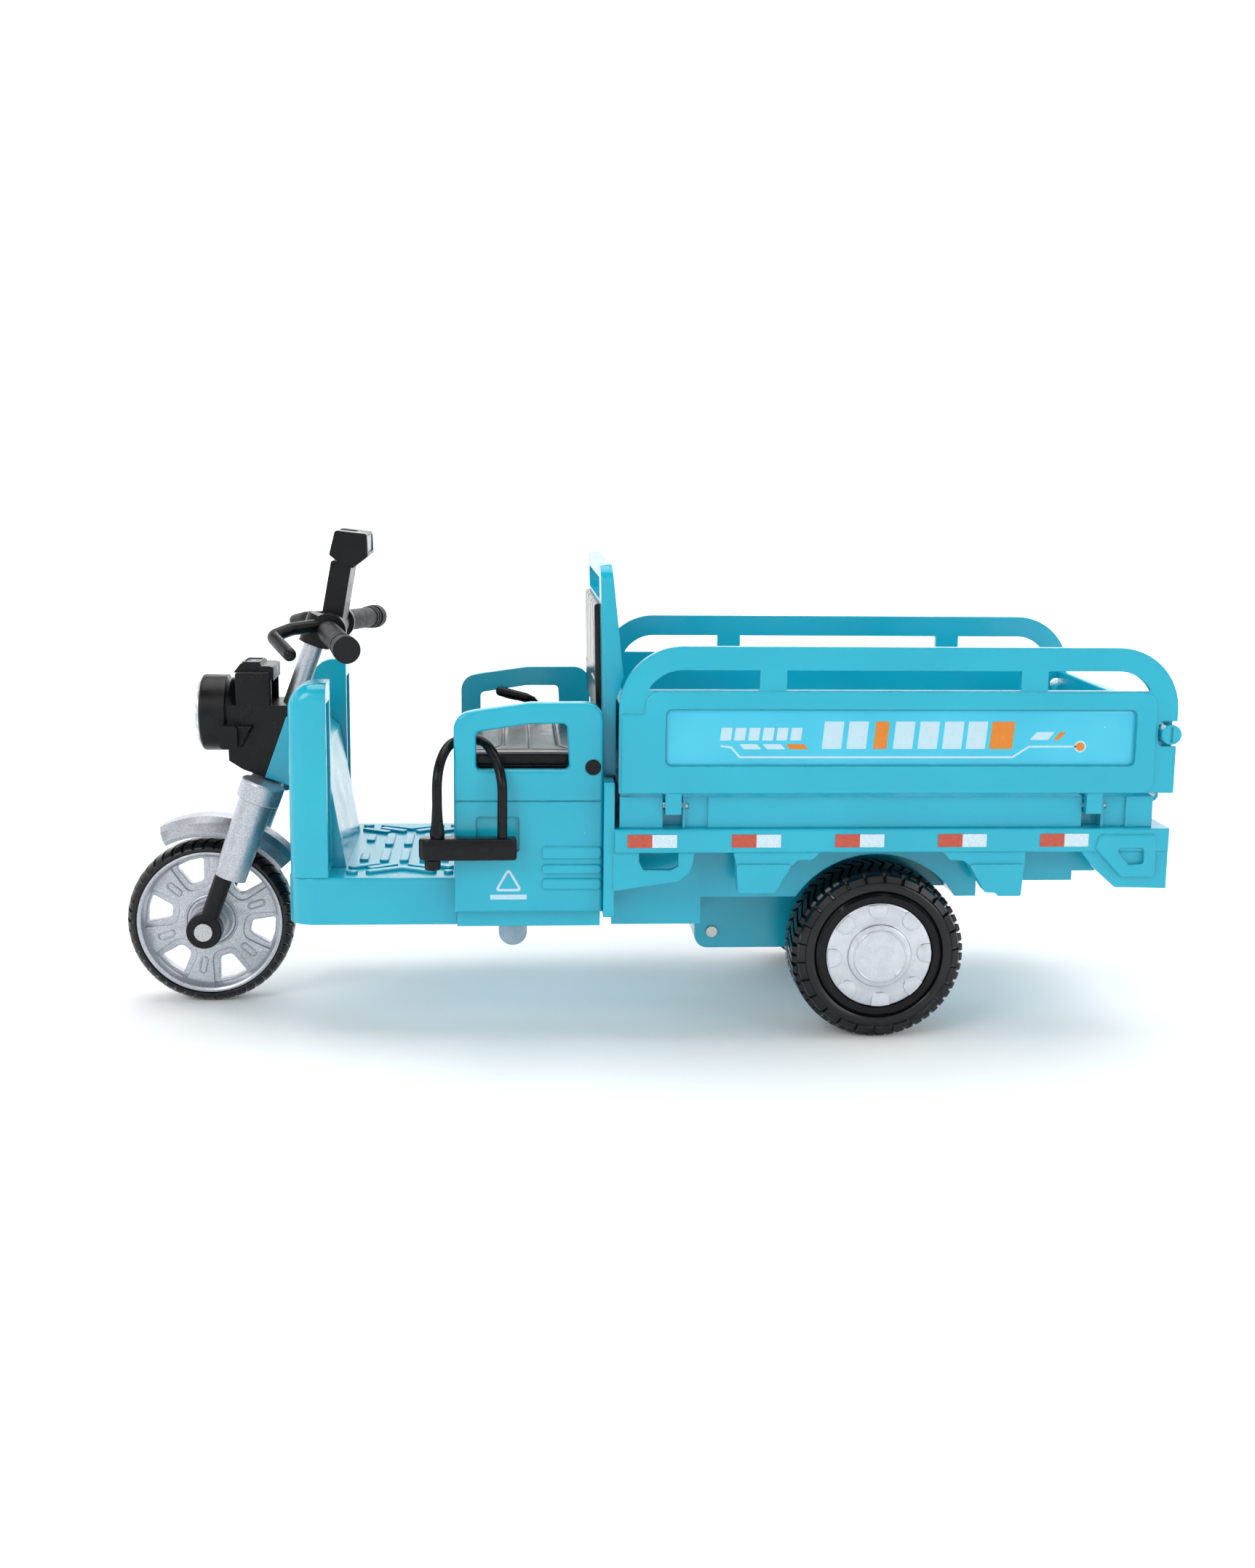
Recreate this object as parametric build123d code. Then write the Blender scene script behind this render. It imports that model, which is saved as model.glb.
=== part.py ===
from build123d import *
from math import acos, atan2, cos, degrees, pi, radians, sin, tan
import os

# Toy cargo tricycle, millimetres. +X points rearwards, +Y to the vehicle's right, +Z up.
# The origin is on the floor, under the middle of the overall length, on the centre plane.

# Fits
RUN = 0.05                 # radial clearance of a shaft that turns in its hole
SEAT = 0.02                # radial clearance of a pin that is held in its hole
GAP = 0.4                  # air between two bodies that move past each other

# Cargo bed and drop sides
BED_HALF = 48.0            # centre plane to the outer face of a drop side
BED_FRONT, BED_REAR = -4.9, 135.6
SIDE_BOTTOM, SIDE_TOP = 65.4, 102.0
SIDE_PLATE = 2.2           # thickness of the drop side behind its raised frame
FRAME_RAISE = 0.6
RAIL_DEPTH = 5.8           # height of the top rail of a drop side
RAIL_RADIUS = 15.6
WINDOW_TOP_EDGE = 91.2     # lower edge of the openings under the top rail
POST_CENTRES = (33.1, 98.7)
POST_WIDTH = 6.7
BED_FLOOR_TOP, BED_FLOOR_THICK = 64.2, 2.4
BED_WALL = 3.0
FRONT_WALL_TOP = 86.6
TAB_CENTRES = (8.8, 115.5)
TAB_LENGTH = 4.0
SIDE_PIN_Y, SIDE_PIN_Z = 43.9, 61.7
SIDE_PIN_R = 0.75
KNUCKLE_R = 1.7

# Tailgate
GATE_THICK = 2.4
GATE_TOP = 86.0
GATE_PIN_X, GATE_PIN_Z = 133.4, 63.3
GATE_PIN_R = 0.8
GATE_KNUCKLES = (34.0, 26.0)    # half-positions of the knuckle's outer and inner end
LATCH_X, LATCH_Z, LATCH_R = 133.9, 80.4, 2.5

# Chassis
DECK_TOP, DECK_THICK = 56.2, 2.2
RAIL_BOTTOM = 50.2
RAIL_OUTER, RAIL_WALL = 47.4, 3.0
FLANGE_X, FLANGE_THICK = -8.4, 2.6
FLANGE_BOTTOM, FLANGE_TOP = 33.4, 67.8
HULL_HALF, HULL_WALL = 36.0, 2.0
HULL_BOTTOM, HULL_STEPS = 29.2, (0.0, 7.0, 11.1, 13.6)
ARCH_GAP = 2.6
REFLECTOR_START, REFLECTOR_PITCH, REFLECTOR_LENGTH, REFLECTOR_HEIGHT = -2.6, 26.15, 12.4, 3.3
REFLECTOR_Z, REFLECTOR_THICK, REFLECTORS = 53.3, 0.2, 5

# Rear axle and drive
TYRE_R = 22.4
AXLE_X, AXLE_Z, AXLE_R = 62.7, TYRE_R, 1.5
REAR_TYRE_WIDTH, REAR_TRACK = 18.0, 69.2
REAR_RIM_R, HUBCAP_R = 16.4, 13.8
SCALLOPS, SCALLOP_TURN, SCALLOP_R = 8, 3.0, 1.9
MODULE, WHEEL_TEETH, PINION_TEETH = 0.6, 24, 12
PRESSURE_ANGLE = 25.0
ADDENDUM, DEDENDUM, BACKLASH = 0.8, 1.05, 0.12     # the first two in modules
GEAR_WIDTH = 4.0
IDLER_ANGLE, FLYWHEEL_ANGLE = 144.0, 165.0
SHAFT_R = 1.0
FLYWHEEL_R, FLYWHEEL_WIDTH, FLYWHEEL_Y = 8.2, 7.0, 8.0
CASE_FRONT, CASE_REAR, CASE_BOTTOM, CASE_TOP = 17.4, 78.0, 18.7, 46.0
CASE_HALF, CASE_WALL = 20.8, 1.6
BOSS_WALL, BOSS_DEPTH = 1.2, 1.6

# Floorboard, leg shield and seat
FLOOR_FRONT, FLOOR_TOP, FLOOR_BOTTOM = -88.2, 41.6, 29.4
FLOOR_HALF = 36.0
SHIELD_FRONT, SHIELD_REAR, SHIELD_TOP = -87.6, -77.8, 91.0
SHIELD_CUT_HALF, SHIELD_CUT_BOTTOM = 24.0, 76.0
SHIELD_WALL = 1.6
BOX_FRONT, BOX_REAR, BOX_TOP, BOX_BOTTOM = -45.2, -8.9, 68.0, 29.6
BOX_HALF, BOX_WALL = 38.8, 2.0
ARM_OUTER, ARM_THICK = 42.0, 3.2
ARM_FRONT, ARM_REAR, ARM_BOTTOM, ARM_TOP = -45.8, FLANGE_X, 33.9, 87.4
ARM_POST, ARM_RAIL, ARM_HOLE_BOTTOM, ARM_CORNER, ARM_SEAM_Z = 5.6, 5.4, 70.3, 4.6, 62.3
ARM_RIBS = ((13.9, 3.1), (10.0, 2.4), (6.0, 2.8))      # rise above the cover's foot, height
ARM_RIB_RAISE = 0.7
SEAT_PIN_X, SEAT_PIN_Z, SEAT_PIN_R = -11.0, 71.1, 1.9
CUSHION_FRONT, CUSHION_REAR, CUSHION_HALF = -41.5, -13.6, 34.0
CUSHION_BOTTOM, CUSHION_TOP = 70.4, 73.9
SEAT_BASE_THICK = 1.8
BACK_HALF, BACK_TOP = 36.0, 121.2
BACK_FOOT_X, BACK_TOP_X, BACK_REAR = -8.1, -9.2, -5.0
PAD_HALF, PAD_BOTTOM, PAD_TOP, PAD_PROUD = 28.0, 82.0, 111.0, 1.6
LEVER_Y, LEVER_PIN_X, LEVER_PIN_Z, LEVER_PIN_R = 36.7, -18.0, 70.6, 0.6
LEVER_HALF, LEVER_SIDE_GAP = 1.0, 0.2
LEVER_ARM_R, LEVER_GRIP_R = 0.9, 1.4
LUG_X, LUG_Y, LUG_Z, LUG_R, LUG_HALF = -31.0, -10.0, 21.3, 3.8, 2.5

# Front wheel, fork and steering
RAKE = 20.0                # steering axis, degrees back from upright
FRONT_AXLE_X, FRONT_AXLE_Z = -112.9, TYRE_R
AXLE_LEAD = 1.4            # front axle ahead of the steering axis
FRONT_AXLE_R = 2.4
FRONT_TYRE_WIDTH, FRONT_RIM_R = 11.0, 19.5
SPOKES, WINDOW_TURN = 6, 49.0
WINDOW_INNER_R, WINDOW_OUTER_R, WEB_HALF = 10.6, 17.0, 2.2
FORK_HALF = 13.2           # centre plane to a fork leg's axis
FORK_R, FORK_BOTTOM, CROWN_BOTTOM, CROWN_TOP = 4.4, 16.0, 37.8, 43.2
CROWN_R = 5.75
LOWER_LEG_R, EYE_R = 2.4, 4.7
STEM_R, STEM_TOP = 2.65, 87.0
FENDER_R, FENDER_WALL, FENDER_HALF = 29.0, 1.2, 8.4
HEAD_TOP = 61.0            # along the steering axis, from the level of the axle
HEAD_HALF = 9.4
HEAD_BOTTOM = CROWN_TOP + 0.6
BAR_X, BAR_Z, BAR_R = -78.8, 102.4, 3.4
COLLAR_NEAR, COLLAR_FAR, COLLAR_R = 11.5, 15.0, 4.6
NECK_HALF, HOOK_R = 9.6, 1.7
GRIP_END_X, GRIP_END_Y, GRIP_END_Z = -70.9, 50.0, 101.0
GRIP_R, GRIP_WALL = 2.9, 0.9
HOOD_HALF, HOOD_SLOT_HALF = 11.0, 3.6
WINDOW_HALF, WINDOW_LOW, WINDOW_HIGH, WINDOW_DEEP = 8.4, 19.9, 24.2, 0.8

# Lamp
LAMP_X, LAMP_Z, LAMP_R, LAMP_DEPTH = -113.6, 79.2, 10.2, 6.8
LENS_R, LENS_RISE, LENS_DOME_R = 9.0, 1.5, 33.4
POD_HALF = 9.0

# U-lock
LOCK_ROD_R = 1.3
LOCK_LEFT_X, LOCK_RIGHT_X, LOCK_Y = -49.8, -33.7, -46.2
LOCK_BAR_BOTTOM, LOCK_BAR_HEIGHT, LOCK_BAR_HALF_WIDTH = 48.6, 5.6, 2.7
LOCK_LEG_DEPTH = 3.6

SCREW_HEAD_R, SCREW_HEAD_THICK = 1.5, 0.8


def side_plane(y):
    """Plane whose sketch axes are X and Z, and whose normal points towards -Y."""
    return Plane(origin=(0, y, 0), x_dir=(1, 0, 0), z_dir=(0, -1, 0))


def side_prism(sketch, y_low, y_high):
    """A sketch in X and Z, made solid between two Y values."""
    return extrude(side_plane(y_high) * sketch, amount=y_high - y_low, dir=(0, -1, 0))


def front_prism(sketch, x_low, x_high):
    """A sketch in Y and Z, made solid between two X values."""
    plane = Plane(origin=(x_low, 0, 0), x_dir=(0, 1, 0), z_dir=(1, 0, 0))
    return extrude(plane * sketch, amount=x_high - x_low, dir=(1, 0, 0))


def polygon(points, radius=0.0):
    """Filled outline with every corner rounded by one radius."""
    face = Polygon(*points, align=None)
    return fillet(face.vertices(), radius) if radius else face


def rect(x_low, x_high, z_low, z_high, radius=0.0):
    return polygon([(x_low, z_low), (x_high, z_low), (x_high, z_high), (x_low, z_high)], radius)


def block(x_low, x_high, y_low, y_high, z_low, z_high):
    centre = ((x_low + x_high) / 2, (y_low + y_high) / 2, (z_low + z_high) / 2)
    return Pos(*centre) * Box(x_high - x_low, y_high - y_low, z_high - z_low)


def rod(start, end, radius, end_radius=None):
    """Round bar or cone from one point to another."""
    start, end = Vector(*start), Vector(*end)
    along = end - start
    place = Plane(origin=start, z_dir=along)
    if end_radius is None:
        shape = Cylinder(radius, along.length, align=(Align.CENTER, Align.CENTER, Align.MIN))
    else:
        shape = Cone(radius, end_radius, along.length, align=(Align.CENTER, Align.CENTER, Align.MIN))
    return place * shape


def wire_form(points, bend, radius):
    """Round bar along straight runs joined by bends."""
    path = FilletPolyline(*points, radius=bend)
    start = Vector(*points[0])
    section = Plane(origin=start, z_dir=Vector(*points[1]) - start) * Circle(radius)
    return sweep(section, path)


def turned(points, x, y, z):
    """Ring turned about a line along Y, from (radius, offset) points of its section."""
    section = make_face(Polyline([(x, y + offset, z + radius) for radius, offset in points], close=True))
    return revolve(section, axis=Axis((x, 0, z), (0, 1, 0)))


def mirrored(shape):
    return mirror(shape, about=Plane.XZ)


def both(shape):
    return [shape, mirrored(shape)]


def solids_of(shapes):
    """One node from separate solids."""
    found = []
    for shape in shapes:
        found += shape.solids()
    return Compound(found)





STEER = Plane(
    origin=(FRONT_AXLE_X + AXLE_LEAD * cos(radians(RAKE)), 0, FRONT_AXLE_Z - AXLE_LEAD * sin(radians(RAKE))),
    x_dir=(cos(radians(RAKE)), 0, -sin(radians(RAKE))),
    z_dir=(sin(radians(RAKE)), 0, cos(radians(RAKE))),
)


def steer_point(x, y, z):
    """World point of a place given across and along the steering axis."""
    return STEER.from_local_coords(Vector(x, y, z))


# ---------------------------------------------------------------- cargo bed

def drop_side():
    """Left drop side: railing, raised frame, sunk window, latch notch and two hinge tabs."""
    face_y = -BED_HALF + FRAME_RAISE
    back_y = face_y + SIDE_PLATE
    outline = rect(BED_FRONT, BED_REAR, SIDE_BOTTOM - 20, SIDE_TOP, RAIL_RADIUS)
    outline -= rect(BED_FRONT - 1, BED_REAR + 1, SIDE_BOTTOM - 30, SIDE_BOTTOM)
    opening = rect(BED_FRONT + RAIL_DEPTH, BED_REAR - RAIL_DEPTH, WINDOW_TOP_EDGE - 30,
                   SIDE_TOP - RAIL_DEPTH, RAIL_RADIUS - RAIL_DEPTH)
    opening -= rect(BED_FRONT, BED_REAR, WINDOW_TOP_EDGE - 40, WINDOW_TOP_EDGE)
    for centre in POST_CENTRES:
        opening -= rect(centre - POST_WIDTH / 2, centre + POST_WIDTH / 2, WINDOW_TOP_EDGE - 1, SIDE_TOP)
    plate = side_prism(outline - opening, face_y, back_y)
    frame = rect(BED_FRONT + 6.3, BED_REAR - 5.4, SIDE_BOTTOM, WINDOW_TOP_EDGE - 0.2, 3.6)
    frame += rect(BED_FRONT + 0.6, BED_FRONT + 12, SIDE_BOTTOM, SIDE_BOTTOM + 19.9)
    frame += rect(BED_FRONT + 6.3, BED_REAR - 12, SIDE_BOTTOM, SIDE_BOTTOM + 8)
    raised = side_prism(frame, -BED_HALF, face_y)
    raised = fillet(raised.faces().sort_by(Axis.Y)[0].edges(), FRAME_RAISE * 0.7)
    side = plate + raised
    window = rect(BED_FRONT + 11.4, BED_REAR - 10.5, SIDE_BOTTOM + 6.9, SIDE_BOTTOM + 21.2, 1.6)
    side -= side_prism(window, -BED_HALF - 1, -BED_HALF + 1.0)
    notch = rect(LATCH_X - LATCH_R - 0.6, BED_REAR + 9, LATCH_Z - LATCH_R - 0.6, LATCH_Z + LATCH_R + 0.8, 1.4)
    side -= side_prism(notch, -BED_HALF - 1, back_y + 1)
    for centre in TAB_CENTRES:
        side += hinge_tab(centre, face_y, back_y)
        side -= rod((centre - TAB_LENGTH, -SIDE_PIN_Y, SIDE_PIN_Z),
                    (centre + TAB_LENGTH, -SIDE_PIN_Y, SIDE_PIN_Z), SIDE_PIN_R + RUN)
    return side


def hinge_tab(centre, face_y, back_y):
    low, high = centre - TAB_LENGTH / 2, centre + TAB_LENGTH / 2
    tab = block(low, high, face_y, back_y, SIDE_PIN_Z - KNUCKLE_R, SIDE_BOTTOM + 1)
    tab += block(low, high, back_y, -SIDE_PIN_Y, SIDE_PIN_Z - KNUCKLE_R, SIDE_PIN_Z + KNUCKLE_R)
    return tab + rod((low, -SIDE_PIN_Y, SIDE_PIN_Z), (high, -SIDE_PIN_Y, SIDE_PIN_Z), KNUCKLE_R)


def cargo_bed():
    """Bed floor on a skirt, with a front wall, hinge slots along both sides and gate lugs at the back."""
    half = BED_HALF - FRAME_RAISE - SIDE_PLATE
    rear = GATE_PIN_X - KNUCKLE_R - GAP
    bed = block(BED_FRONT + 0.4, rear, -half, half, DECK_TOP, BED_FLOOR_TOP)
    bed -= block(BED_FRONT + 3.0, rear - BED_WALL, -half + BED_WALL, half - BED_WALL,
                 DECK_TOP - 1, BED_FLOOR_TOP - BED_FLOOR_THICK)
    bed += block(BED_FRONT + 0.5, BED_FRONT + 2.9, -half + GAP, half - GAP, BED_FLOOR_TOP - 1, FRONT_WALL_TOP)
    pad = SIDE_PIN_Y - KNUCKLE_R - 0.9
    for centre in TAB_CENTRES:
        low, high = centre - TAB_LENGTH / 2, centre + TAB_LENGTH / 2
        for side in (-1, 1):
            near, far = sorted((side * (pad - BED_WALL / 2), side * half))
            bed += block(low - 3.0, high + 3.0, near, far, DECK_TOP, BED_FLOOR_TOP)
            near, far = sorted((side * pad, side * (half + 1)))
            bed -= block(low - 0.5, high + 0.5, near, far, DECK_TOP - 1, BED_FLOOR_TOP + 1)
            bed -= rod((low - 2.0, side * SIDE_PIN_Y, SIDE_PIN_Z),
                       (high + 2.0, side * SIDE_PIN_Y, SIDE_PIN_Z),
                       SIDE_PIN_R + SEAT)
    recess = half - 0.8
    for centre in TAB_CENTRES:
        for side in (-1, 1):
            near, far = sorted((side * recess, side * (half + 1)))
            bed -= block(centre + 3.2, centre + 8.9, near, far, DECK_TOP - 1, BED_FLOOR_TOP + 1)
    outer, inner = GATE_KNUCKLES
    for side in (-1, 1):
        for y_low, y_high in ((outer + GAP, outer + GAP + 4), (inner - GAP - 4, inner - GAP)):
            near, far = sorted((side * y_low, side * y_high))
            bed += gate_lug(near, far, rear)
            bed -= rod((GATE_PIN_X, near - 1, GATE_PIN_Z), (GATE_PIN_X, far + 1, GATE_PIN_Z),
                       GATE_PIN_R + SEAT)
    return bed


def gate_lug(y_low, y_high, rear):
    lug = block(rear - 2, GATE_PIN_X, y_low, y_high, GATE_PIN_Z - KNUCKLE_R, GATE_PIN_Z + KNUCKLE_R - 0.8)
    return lug + rod((GATE_PIN_X, y_low, GATE_PIN_Z), (GATE_PIN_X, y_high, GATE_PIN_Z), KNUCKLE_R)


def tailgate():
    """Rear gate: plate, hinge knuckles, and a latch pin with a slotted head at each end."""
    half = BED_HALF - FRAME_RAISE - SIDE_PLATE - GAP
    low_x = BED_REAR - 0.3 - GATE_THICK
    gate = side_prism(rect(low_x, low_x + GATE_THICK, GATE_PIN_Z + KNUCKLE_R + 0.6, GATE_TOP, 0.6), -half,
                      half)
    middle = (GATE_TOP + GATE_PIN_Z) / 2 + 1
    gate -= front_prism(rect(8 - half, half - 8, middle - 6, middle + 6, 2), low_x + GATE_THICK - 0.7,
                        BED_REAR + 1)
    outer, inner = GATE_KNUCKLES
    for side in (-1, 1):
        near, far = sorted((side * inner, side * outer))
        gate += block(low_x, low_x + GATE_THICK, near, far, GATE_PIN_Z, GATE_PIN_Z + KNUCKLE_R + 2)
        gate += rod((GATE_PIN_X, near, GATE_PIN_Z), (GATE_PIN_X, far, GATE_PIN_Z), KNUCKLE_R)
        gate -= rod((GATE_PIN_X, near - 1, GATE_PIN_Z), (GATE_PIN_X, far + 1, GATE_PIN_Z), GATE_PIN_R + RUN)
        gate += rod((LATCH_X - 1.2, side * (half - 5), LATCH_Z), (LATCH_X - 1.2, side * half, LATCH_Z), 2.2)
        gate += rod((LATCH_X, side * (half - 1), LATCH_Z), (LATCH_X, side * (BED_HALF + 0.6), LATCH_Z),
                    LATCH_R)
        near, far = sorted((side * (BED_HALF + 0.1), side * (BED_HALF + 1)))
        gate -= block(LATCH_X - 0.35, LATCH_X + 0.35, near, far, LATCH_Z - 1.9, LATCH_Z + 1.9)
    return gate


def side_hinge_pins():
    pins = []
    for centre in TAB_CENTRES:
        reach = TAB_LENGTH / 2 + 1.9
        pins += both(rod((centre - reach, -SIDE_PIN_Y, SIDE_PIN_Z), (centre + reach, -SIDE_PIN_Y, SIDE_PIN_Z),
                         SIDE_PIN_R))
    return solids_of(pins)


def gate_hinge_pins():
    outer, inner = GATE_KNUCKLES
    return solids_of(both(rod((GATE_PIN_X, inner - GAP - 4, GATE_PIN_Z),
                              (GATE_PIN_X, outer + GAP + 4, GATE_PIN_Z),
                              GATE_PIN_R)))


# ---------------------------------------------------------------- chassis

def chassis_frame():
    """Deck between two side rails, the flange behind the seat box, corner bumpers and rail brackets."""
    front = FLANGE_X + FLANGE_THICK
    frame = block(front, BED_REAR - 0.2, -RAIL_OUTER + 1, RAIL_OUTER - 1, DECK_TOP - DECK_THICK, DECK_TOP)
    rail = block(front, BED_REAR - 0.2, -RAIL_OUTER, -RAIL_OUTER + RAIL_WALL, RAIL_BOTTOM, DECK_TOP)
    rail = fillet(rail.faces().sort_by(Axis.Y)[0].edges(), 0.5)
    frame += rail + mirrored(rail)
    frame += block(BED_REAR - 2.6, BED_REAR - 0.2, -RAIL_OUTER + 1, RAIL_OUTER - 1, RAIL_BOTTOM, DECK_TOP)
    flange = polygon([(-46, FLANGE_BOTTOM), (46, FLANGE_BOTTOM), (46, FLANGE_TOP), (37, FLANGE_TOP),
                      (37, BOX_TOP - 2.2), (-37, BOX_TOP - 2.2), (-37, FLANGE_TOP), (-46, FLANGE_TOP)], 0.8)
    frame += front_prism(flange, FLANGE_X, FLANGE_X + FLANGE_THICK)
    for part in (corner_bumper(), front_bracket(), middle_bracket(), rear_bracket()):
        frame += part
        frame += mirrored(part)
    return frame


def corner_bumper():
    inner, face = -RAIL_OUTER + RAIL_WALL, -RAIL_OUTER + 0.9
    rear, top = BED_REAR - 0.1, DECK_TOP - 0.6
    plate = polygon([(rear - 22.5, RAIL_BOTTOM), (rear - 18.7, RAIL_BOTTOM - 4.6),
                     (rear - 13.3, RAIL_BOTTOM - 9.4),
                     (rear, RAIL_BOTTOM - 9.7), (rear, top), (rear - 22.5, top)])
    bumper = side_prism(plate, face, inner)
    boss = polygon([(rear - 18.4, top - 0.9), (rear - 3.7, top - 0.9), (rear - 3.5, RAIL_BOTTOM - 6.5),
                    (rear - 12.3, RAIL_BOTTOM - 6.5), (rear - 19.3, RAIL_BOTTOM + 1.0)], 1.0)
    boss = side_prism(boss, -BED_HALF, face)
    boss = fillet(boss.faces().sort_by(Axis.Y)[0].edges(), 0.5)
    pocket = polygon([(rear - 14.3, RAIL_BOTTOM + 1.1), (rear - 6.7, RAIL_BOTTOM + 1.1),
                      (rear - 6.6, RAIL_BOTTOM - 3.1), (rear - 10.6, RAIL_BOTTOM - 3.3)], 0.8)
    return bumper + boss - side_prism(pocket, -BED_HALF - 1, -BED_HALF + 1.4)


def front_bracket():
    front, low = FLANGE_X + FLANGE_THICK - 0.2, RAIL_BOTTOM
    plate = polygon([(front, low + 1), (front, low - 9.9), (front + 16.3, low - 7.5),
                     (front + 18.8, low - 5.6),
                     (front + 19.9, low - 3.2), (front + 20.5, low + 1)])
    plate -= polygon([(front + 6.4, low + 2), (front + 6.4, low - 2.4), (front + 7.5, low - 4.5),
                      (front + 14.4, low - 4.6), (front + 16.3, low - 3.6), (front + 16.3, low + 2)])
    return side_prism(plate, -RAIL_OUTER + 1.0, -RAIL_OUTER + RAIL_WALL)


def middle_bracket():
    """Bracket ahead of the rear wheel."""
    x, low = AXLE_X, RAIL_BOTTOM
    plate = polygon([(x - 38.6, low + 0.5), (x - 37.8, low - 3.3), (x - 23.5, low - 3.3),
                     (x - 22.1, low - 2.0),
                     (x - 18.5, low - 2.0), (x - 16.1, low + 0.5)])
    foot = polygon([(x - 37.8, low - 3.0), (x - 37.3, low - 10.4), (x - 28.1, low - 10.5),
                    (x - 23.6, low - 3.0)], 0.6)
    return (side_prism(plate, -RAIL_OUTER + 0.8, -RAIL_OUTER + RAIL_WALL)
            + side_prism(foot, -RAIL_OUTER + 0.2, -RAIL_OUTER + 5.0))


def rear_bracket():
    """Bracket behind the rear wheel."""
    x, low = AXLE_X, RAIL_BOTTOM
    plate = polygon([(x + 14.2, low + 0.5), (x + 16.6, low - 2.1), (x + 20.0, low - 2.3),
                     (x + 21.7, low - 3.6),
                     (x + 35.9, low - 3.8), (x + 36.0, low + 0.5)])
    foot = polygon([(x + 21.4, low - 3.2), (x + 25.8, low - 10.4), (x + 28.6, low - 10.6),
                    (x + 29.1, low - 11.4),
                    (x + 35.0, low - 11.4), (x + 35.6, low - 3.2)], 0.5)
    return (side_prism(plate, -RAIL_OUTER + 0.8, -RAIL_OUTER + RAIL_WALL)
            + side_prism(foot, -RAIL_OUTER + 0.2, -RAIL_OUTER + 5.0))


def hull_outline(inset):
    """Side outline of the hull, stepped down towards the front, drawn in by an inset."""
    front, rear = FLANGE_X + FLANGE_THICK + inset, BED_REAR - 15.3 - inset
    top = DECK_TOP - DECK_THICK
    low, first, second, third = (HULL_BOTTOM + rise + inset for rise in HULL_STEPS)
    case, tail = CASE_FRONT - 0.2 - inset, AXLE_X + TYRE_R + 3.9 - inset
    lip = rear - 6.1
    return polygon([(front, top), (front, low), (case, low), (case, first), (tail, first), (tail, second),
                    (lip, second), (lip, third), (rear, third), (rear, top)])


def wheel_arches(radius, inner_half):
    return [side_prism(Pos(AXLE_X, AXLE_Z) * Circle(radius), *sorted((side * inner_half, side * 60)))
            for side in (-1, 1)]


def underbody():
    """Thin hull under the deck, stepped along its length, arched over the wheels and open for the gearbox."""
    arch = TYRE_R + ARCH_GAP
    arch_half = REAR_TRACK / 2 - REAR_TYRE_WIDTH / 2 - 1.4
    hull = side_prism(hull_outline(0), -HULL_HALF, HULL_HALF)
    cavity = side_prism(hull_outline(HULL_WALL), -HULL_HALF + HULL_WALL, HULL_HALF - HULL_WALL)
    for cut in wheel_arches(arch + HULL_WALL, arch_half - HULL_WALL):
        cavity -= cut
    hull -= cavity
    for cut in wheel_arches(arch, arch_half):
        hull -= cut
    return hull - block(CASE_FRONT - 0.4, CASE_REAR + 0.4, -CASE_HALF - 0.3, CASE_HALF + 0.3, 0,
                        DECK_TOP - DECK_THICK - 1)


def reflectors(first_half):
    """Film squares along both rails; each reflector is red on its front half and white on its rear half."""
    tiles = []
    for index in range(REFLECTORS):
        low = REFLECTOR_START + index * REFLECTOR_PITCH + (0 if first_half else REFLECTOR_LENGTH / 2)
        tiles += both(block(low, low + REFLECTOR_LENGTH / 2, -RAIL_OUTER - REFLECTOR_THICK, -RAIL_OUTER,
                            REFLECTOR_Z - REFLECTOR_HEIGHT / 2, REFLECTOR_Z + REFLECTOR_HEIGHT / 2))
    return solids_of(tiles)


# ---------------------------------------------------------------- rear axle and drive

def involute(radius, base_r):
    """Polar angle, in radians, of an involute at a radius."""
    pressure = acos(base_r / radius)
    return tan(pressure) - pressure


def gear_sketch(teeth, turn):
    """Stub-tooth gear outline with a tooth centred on the given angle, in degrees."""
    pitch_r = MODULE * teeth / 2
    base_r = pitch_r * cos(radians(PRESSURE_ANGLE))
    tip_r, root_r = pitch_r + ADDENDUM * MODULE, pitch_r - DEDENDUM * MODULE
    half_tooth = pi / (2 * teeth) - BACKLASH / (2 * pitch_r) + involute(pitch_r, base_r)
    start_r = max(root_r, base_r)
    flank = [start_r + (tip_r - start_r) * step / 5 for step in range(6)]
    points = []
    for tooth in range(teeth):
        middle = radians(turn) + 2 * pi * tooth / teeth
        left = [(r, middle - half_tooth + involute(r, base_r)) for r in flank]
        right = [(r, middle + half_tooth - involute(r, base_r)) for r in reversed(flank)]
        ring = left + right
        if root_r < base_r:
            ring = [(root_r, left[0][1])] + ring + [(root_r, right[-1][1])]
        points += [(r * cos(a), r * sin(a)) for r, a in ring]
    return Polygon(*points, align=None)


def mesh_turn(teeth, turn, direction, next_teeth):
    """Turn of the next gear that puts its gap on this gear's tooth, for a centre line at a direction."""
    phase = ((direction - turn) * teeth / 360) % 1
    return direction + 180 + (phase + 0.5) * 360 / next_teeth


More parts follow.
